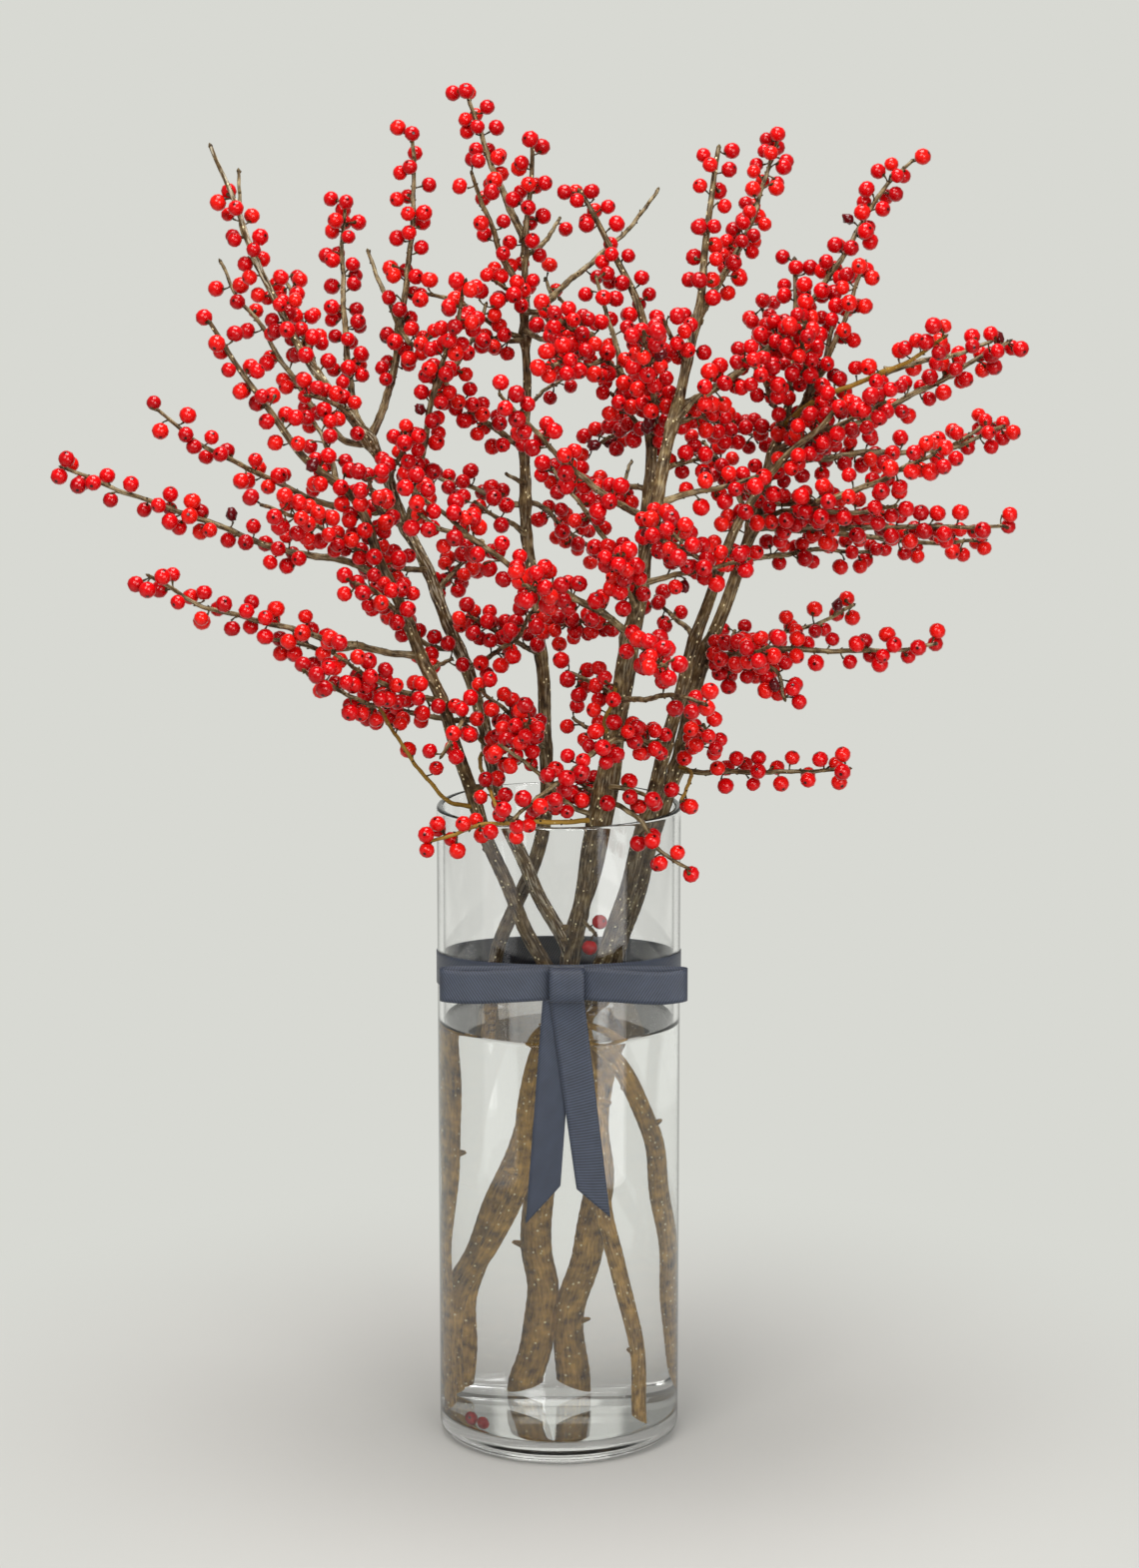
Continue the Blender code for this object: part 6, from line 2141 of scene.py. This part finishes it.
@dataclass
class Ribbon:
    """The ribbon: once round the glass, tied in a flat bow at the front with two slanted tails."""

    glass: float = 75.0
    width: float = 20.0
    thick: float = 0.4
    top_middle: float = 308.5
    lean: float = 0.107
    knot_left: float = -5.4
    knot_width: float = 20.6
    knot_top: float = 316.8
    knot_height: float = 21.2
    back: float = -76.7
    reach_left: float = -71.0
    reach_right: float = 77.0
    loop_middle: float = 306.2
    tail_left: tuple[tuple[float, float], ...] = (
        (-9.5, 297.0), (-20.0, 156.0), (1.2, 180.0), (9.5, 297.0),
    )
    tail_right: tuple[tuple[float, float], ...] = (
        (-5.4, 297.0), (10.8, 178.5), (31.4, 160.5), (15.4, 297.0),
    )
    tail_depths: tuple[float, float] = (-77.9, -79.3)
    tail_curls: tuple[float, float] = (0.4, 0.6)
    tail_steps: int = 60
    off_glass: float = 0.32
    band_steps: int = 144
    loop_tuck: float = 3.0
    loop_step: float = 1.5
    knot_front: float = -87.9
    knot_step: float = 0.9
    areas: list[float] = field(default_factory=list, init=False)

    def band(self) -> Strip:
        """Lay the turn round the glass, lower at the back than at the front.

        Returns:
            The turn's strip.
        """
        radius = self.glass + self.off_glass
        centres, across = [], []
        for step in range(self.band_steps + 1):
            angle = math.radians(-90.0 + 360.0 * step / self.band_steps)
            y = radius * math.sin(angle)
            centres.append((radius * math.cos(angle), y, self.top_middle - self.width / 2.0 - self.lean * y))
            across.append((0.0, 0.0, self.width / 2.0))
        return Strip(np.array(centres), np.array(across), (self.width, 2.0 * math.pi * radius))

    def loop(self, side: Side) -> Strip:
        """Fold one loop of the bow, out along the glass and back in front.

        Args:
            side: Which loop it is.

        Returns:
            The loop's strip.
        """
        left = side is Side.LEFT
        knot = self.knot_left + (self.loop_tuck if left else self.knot_width - self.loop_tuck)
        span = abs((self.reach_left if left else self.reach_right) - knot)
        # The share of the way out from the knot, and the depth.
        marks = [
            (0.0, -80.0), (0.08, -79.2), (0.25, -77.7), (0.5, -77.2), (0.75, -77.3), (0.9, -77.9),
            (0.975, -79.6), (1.0, -82.0), (0.975, -84.4), (0.9, -86.0), (0.75, -86.6), (0.5, -86.0),
            (0.25, -84.0), (0.08, -82.0), (0.0, -81.2),
        ]
        line = np.array([(knot + side.value * share * span, y, 0.0) for share, y in marks])
        centres = smoothed(line, self.loop_step)
        far = along(centres)
        middle = far[-1] / 2.0
        out = np.abs(centres[:, 0] - knot) / span
        front = np.clip((far - middle) / middle * 4.0, 0.0, 1.0)
        sag = (1.0 if left else 2.0) * out**1.5 * front * np.sin(np.pi * np.clip(out, 0.0, 0.97)) ** 0.5
        centres[:, 2] = self.loop_middle - sag - 0.6 * out * front
        across = np.tile((0.0, 0.0, self.width / 2.0), (len(centres), 1))
        across[:, 2] *= 1.0 - 0.06 * np.clip(1.0 - out * 8.0, 0.0, 1.0)
        return Strip(centres, across, (self.width, float(far[-1])))

    def knot(self) -> Strip:
        """Wrap the knot, over the top, down the front and under.

        Returns:
            The knot's strip.
        """
        low, high = self.knot_top - self.knot_height, self.knot_top
        back, front = self.back - 0.2, self.knot_front
        # The depth and the height.
        marks = [
            (back - 1.0, low + 4.0), (back - 0.3, low + 9.0), (back - 0.3, high - 4.0),
            (back - 1.6, high - 1.0), (back - 4.5, high), (front + 2.4, high - 0.1),
            (front + 0.7, high - 1.6), (front, high - 5.0), (front - 0.1, low + 10.0),
            (front + 0.1, low + 4.0), (front + 1.0, low + 1.2), (front + 3.2, low + 0.1),
            (back - 4.0, low + 0.2), (back - 2.0, low + 1.6), (back - 1.2, low + 3.2),
        ]
        middle = self.knot_left + self.knot_width / 2.0
        line = np.array([(middle, y, z) for y, z in marks])
        centres = smoothed(line, self.knot_step)
        across = np.tile((self.knot_width / 2.0, 0.0, 0.0), (len(centres), 1))
        return Strip(centres, across, (self.knot_width, float(along(centres)[-1])))

    def tail(self, corners: Sequence[tuple[float, float]], face: float, curl: float) -> Strip:
        """Hang one tail from the knot, cut at a slant.

        Args:
            corners: Its corners as (across, up): top left, bottom left, bottom right, top right.
            face: The depth at which it hangs.
            curl: How far its foot stands off.

        Returns:
            The tail's strip.
        """
        centres, across = [], []
        top_left, low_left, low_right, top_right = np.array(corners)
        for step in range(self.tail_steps + 1):
            share = step / self.tail_steps
            left = top_left + (low_left - top_left) * share
            right = top_right + (low_right - top_right) * share
            out = -4.0 * math.exp(-share * 14.0) - curl * share**2 - 0.5 * math.sin(share * 5.0)
            centre = (left + right) / 2.0
            centres.append((centre[0], face + out, centre[1]))
            half = (right - left) / 2.0
            across.append((half[0], 0.0, half[1]))
        area = sum(x0 * z1 - x1 * z0 for (x0, z0), (x1, z1) in zip(corners, (*corners[1:], corners[0])))
        self.areas.append(abs(area) / 2.0)
        line = np.array(centres)
        return Strip(line, np.array(across), (self.width, float(along(line)[-1])))

    def build(self, finish: bpy.types.Material) -> list[bpy.types.Object]:
        """Build the ribbon's pieces and join them to the frame.

        Args:
            finish: The ribbon's material.

        Returns:
            The band, the two loops, the knot and the two tails.
        """
        strips = {
            "ribbon_turn": self.band(),
            "bow_loop_left": self.loop(Side.LEFT),
            "bow_loop_right": self.loop(Side.RIGHT),
            "bow_knot": self.knot(),
            "bow_tail_left": self.tail(self.tail_left, self.tail_depths[0], self.tail_curls[0]),
            "bow_tail_right": self.tail(self.tail_right, self.tail_depths[1], self.tail_curls[1]),
        }
        pieces = {name: strip.build(name, self.thick, finish) for name, strip in strips.items()}
        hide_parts("ribbon_band")
        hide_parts("ribbon_bow")
        for name, piece in pieces.items():
            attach(piece, "root")
            if name.startswith("bow_tail"):
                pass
            elif name == "ribbon_turn":
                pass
            else:
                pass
        return list(pieces.values())


@dataclass
class FallenBerries:
    """Two berries that fell into the water and lie on the vase's floor."""

    floor: float = 14.3
    places: tuple[tuple[float, float], ...] = ((-50.0, -36.0), (-43.6, -43.2))
    radii: tuple[float, ...] = (4.6, 4.2)
    ways: tuple[tuple[float, float, float], ...] = ((-0.5, -0.8, 0.3), (0.9, -0.2, 0.35))
    tone: float = 0.25

    def build(self, fruit: BerryMaker, finish: bpy.types.Material) -> bpy.types.Object:
        """Build the two berries and join them to the frame.

        Args:
            fruit: What makes the berries.
            finish: Their material.

        Returns:
            The berries, as one piece.
        """
        berries = []
        for (x, y), radius, way in zip(self.places, self.radii, self.ways):
            facing = np.array(way) / np.linalg.norm(way)
            centre = np.array([x, y, self.floor + radius])
            berries.append(Berry(centre, facing, radius, centre, self.tone, 0.0))
        piece = fruit.build("berries_fallen", berries, finish)
        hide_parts("fallen_berry")
        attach(piece, "root")
        return piece


@dataclass(frozen=True)
class Softbox:
    """A soft light: where it hangs and what it points at, in metres, its size, power and tint."""

    name: str
    place: tuple[float, float, float]
    aim: tuple[float, float, float]
    size: tuple[float, float]
    power: float
    tint: str = "FFFFFF"


@dataclass
class Studio:
    """The seamless paper, the soft lights and the camera.

    A card is a name, a place in degrees from the front to the right, a width in metres and a power in
    watts. It stands beside the vase and shows as a pale band on the glass.
    """

    paper_level: float = -0.0004
    paper_reach: float = 4.6
    paper_height: float = 5.5
    paper_sides: int = 96
    lights: tuple[Softbox, ...] = (
        Softbox("key", (-0.95, -2.2, 2.2), (0.0, 0.0, 0.55), (1.4, 1.4), 62.0, "FFFDFA"),
        Softbox("top", (0.0, -0.1, 2.6), (0.0, 0.0, 0.3), (1.2, 1.2), 75.0),
        Softbox("fill", (0.9, -2.2, 1.05), (0.0, 0.0, 0.25), (1.3, 1.1), 38.0),
    )
    cards: tuple[tuple[str, float, float, float], ...] = (
        ("card right", 49.0, 0.27, 0.7), ("card left", -55.0, 0.34, 0.245),
    )
    card_away: float = 0.55
    card_foot: float = 0.03
    card_height: float = 0.5
    air: str = "E8EAE6"
    air_strength: float = 0.15

    def paper(self, finish: bpy.types.Material) -> None:
        """Lay a round of paper on the table and carry it up all round.

        Args:
            finish: The paper's material.
        """
        profile = [(0.0, 0.0), (0.6, 0.0)]
        for degrees in range(0, 91, 10):
            turn = math.radians(degrees)
            profile.append((self.paper_reach - 1.0 + math.sin(turn), 1.0 - math.cos(turn)))
        profile.append((self.paper_reach, self.paper_height))
        mesh = bpy.data.meshes.new("paper")
        profile = [(radius, height + self.paper_level) for radius, height in profile]
        builder = turned(profile, self.paper_sides)
        bmesh.ops.reverse_faces(builder, faces=builder.faces)
        for face in builder.faces:
            face.smooth = True
        builder.to_mesh(mesh)
        builder.free()
        mesh.materials.append(finish)
        placed("paper", mesh)

    def light(self, box: Softbox) -> None:
        """Hang one soft light.

        Args:
            box: The light.
        """
        lamp = bpy.data.lights.new(box.name, "AREA")
        lamp.shape = "RECTANGLE"
        lamp.size, lamp.size_y = box.size
        lamp.energy = box.power
        lamp.color = colour(box.tint)[:3]
        hung = bpy.data.objects.new(box.name, lamp)
        hung.location = box.place
        hung.rotation_euler = (Vector(box.aim) - Vector(box.place)).to_track_quat("-Z", "Y").to_euler()
        bpy.context.scene.collection.objects.link(hung)

    def card(self, name: str, turn: float, width: float, power: float) -> None:
        """Stand a softly lit card beside the vase.

        Args:
            name: The card's name.
            turn: Its place, in degrees from the front to the right.
            width: Its width, in metres.
            power: Its power in watts.
        """
        angle = math.radians(turn)
        middle = self.card_foot + self.card_height / 2.0
        place = (self.card_away * math.sin(angle), -self.card_away * math.cos(angle), middle)
        self.light(Softbox(name, place, (0.0, 0.0, middle), (width, self.card_height), power))

    def camera(self) -> None:
        """Set the camera where the photograph was taken from."""
        lens = bpy.data.cameras.new("camera")
        lens.lens = LENS_MM
        lens.sensor_width = SENSOR_MM
        lens.clip_start = 0.05
        held = bpy.data.objects.new("camera", lens)
        held.location = Vector(EYE * MM)
        held.rotation_euler = (math.pi / 2.0 - EYE_PITCH, 0.0, 0.0)
        bpy.context.scene.collection.objects.link(held)
        bpy.context.scene.camera = held

    def build(self, finish: bpy.types.Material) -> None:
        """Set up the paper, lights, world and camera.

        Args:
            finish: The paper's material.
        """
        self.paper(finish)
        for box in self.lights:
            self.light(box)
        for card in self.cards:
            self.card(*card)
        world = bpy.data.worlds.new("studio air")
        world.use_nodes = True
        air = world.node_tree.nodes["Background"]
        air.inputs["Color"].default_value = colour(self.air)
        air.inputs["Strength"].default_value = self.air_strength
        bpy.context.scene.world = world
        bpy.context.scene.view_settings.view_transform = "Standard"
        self.camera()


def report(pieces: Sequence[bpy.types.Object]) -> None:
    """Log each piece's name and its number of faces."""
    for piece in pieces:
        LOG.info("%s: %d faces", piece.name, len(piece.data.polygons))


def main() -> None:
    """Build every piece and report it."""
    logging.basicConfig(level=logging.INFO, format="%(message)s")
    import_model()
    growth = Growth()
    limbs = growth.grow()
    LOG.info("grown: %d limbs", len(limbs))
    orchard = Orchard(limbs)
    orchard.fill()
    LOG.info("borne: %d berries", len(orchard.centres))
    wood = Woodworker(WoodRecipe())
    fruit = BerryMaker(BerryRecipe())
    finishes = {
        "bark": BarkFinish().make(),
        "twig": BarkFinish(
            name="twig bark", pore_gap_mm=2.6, pore_size=0.13, pore_size_soft=0.06, pores_shown=0.7,
            middle="5D4C31", light="8B7A56",
        ).make(),
        "stalk": BarkFinish(
            name="stalk", deep="241A10", middle="3C2E1A", light="5A4A2A", pores_shown=0.0,
        ).make(),
        "berry": BerryFinish().make(),
    }
    for stem in STEMS:
        branch = Branch(stem, limbs, orchard.berries[stem.name], orchard.buds[stem.name])
        report(branch.build(wood, fruit, finishes))
    vase = Vase()
    report([vase.build(GlassFinish().make())])
    report([Water(vase, limbs).build(WaterFinish().make())])
    report(Ribbon().build(RibbonFinish().make()))
    report([FallenBerries().build(fruit, finishes["berry"])])
    Studio().build(BackdropFinish().make())
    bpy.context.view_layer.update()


if __name__ == "__main__":
    main()
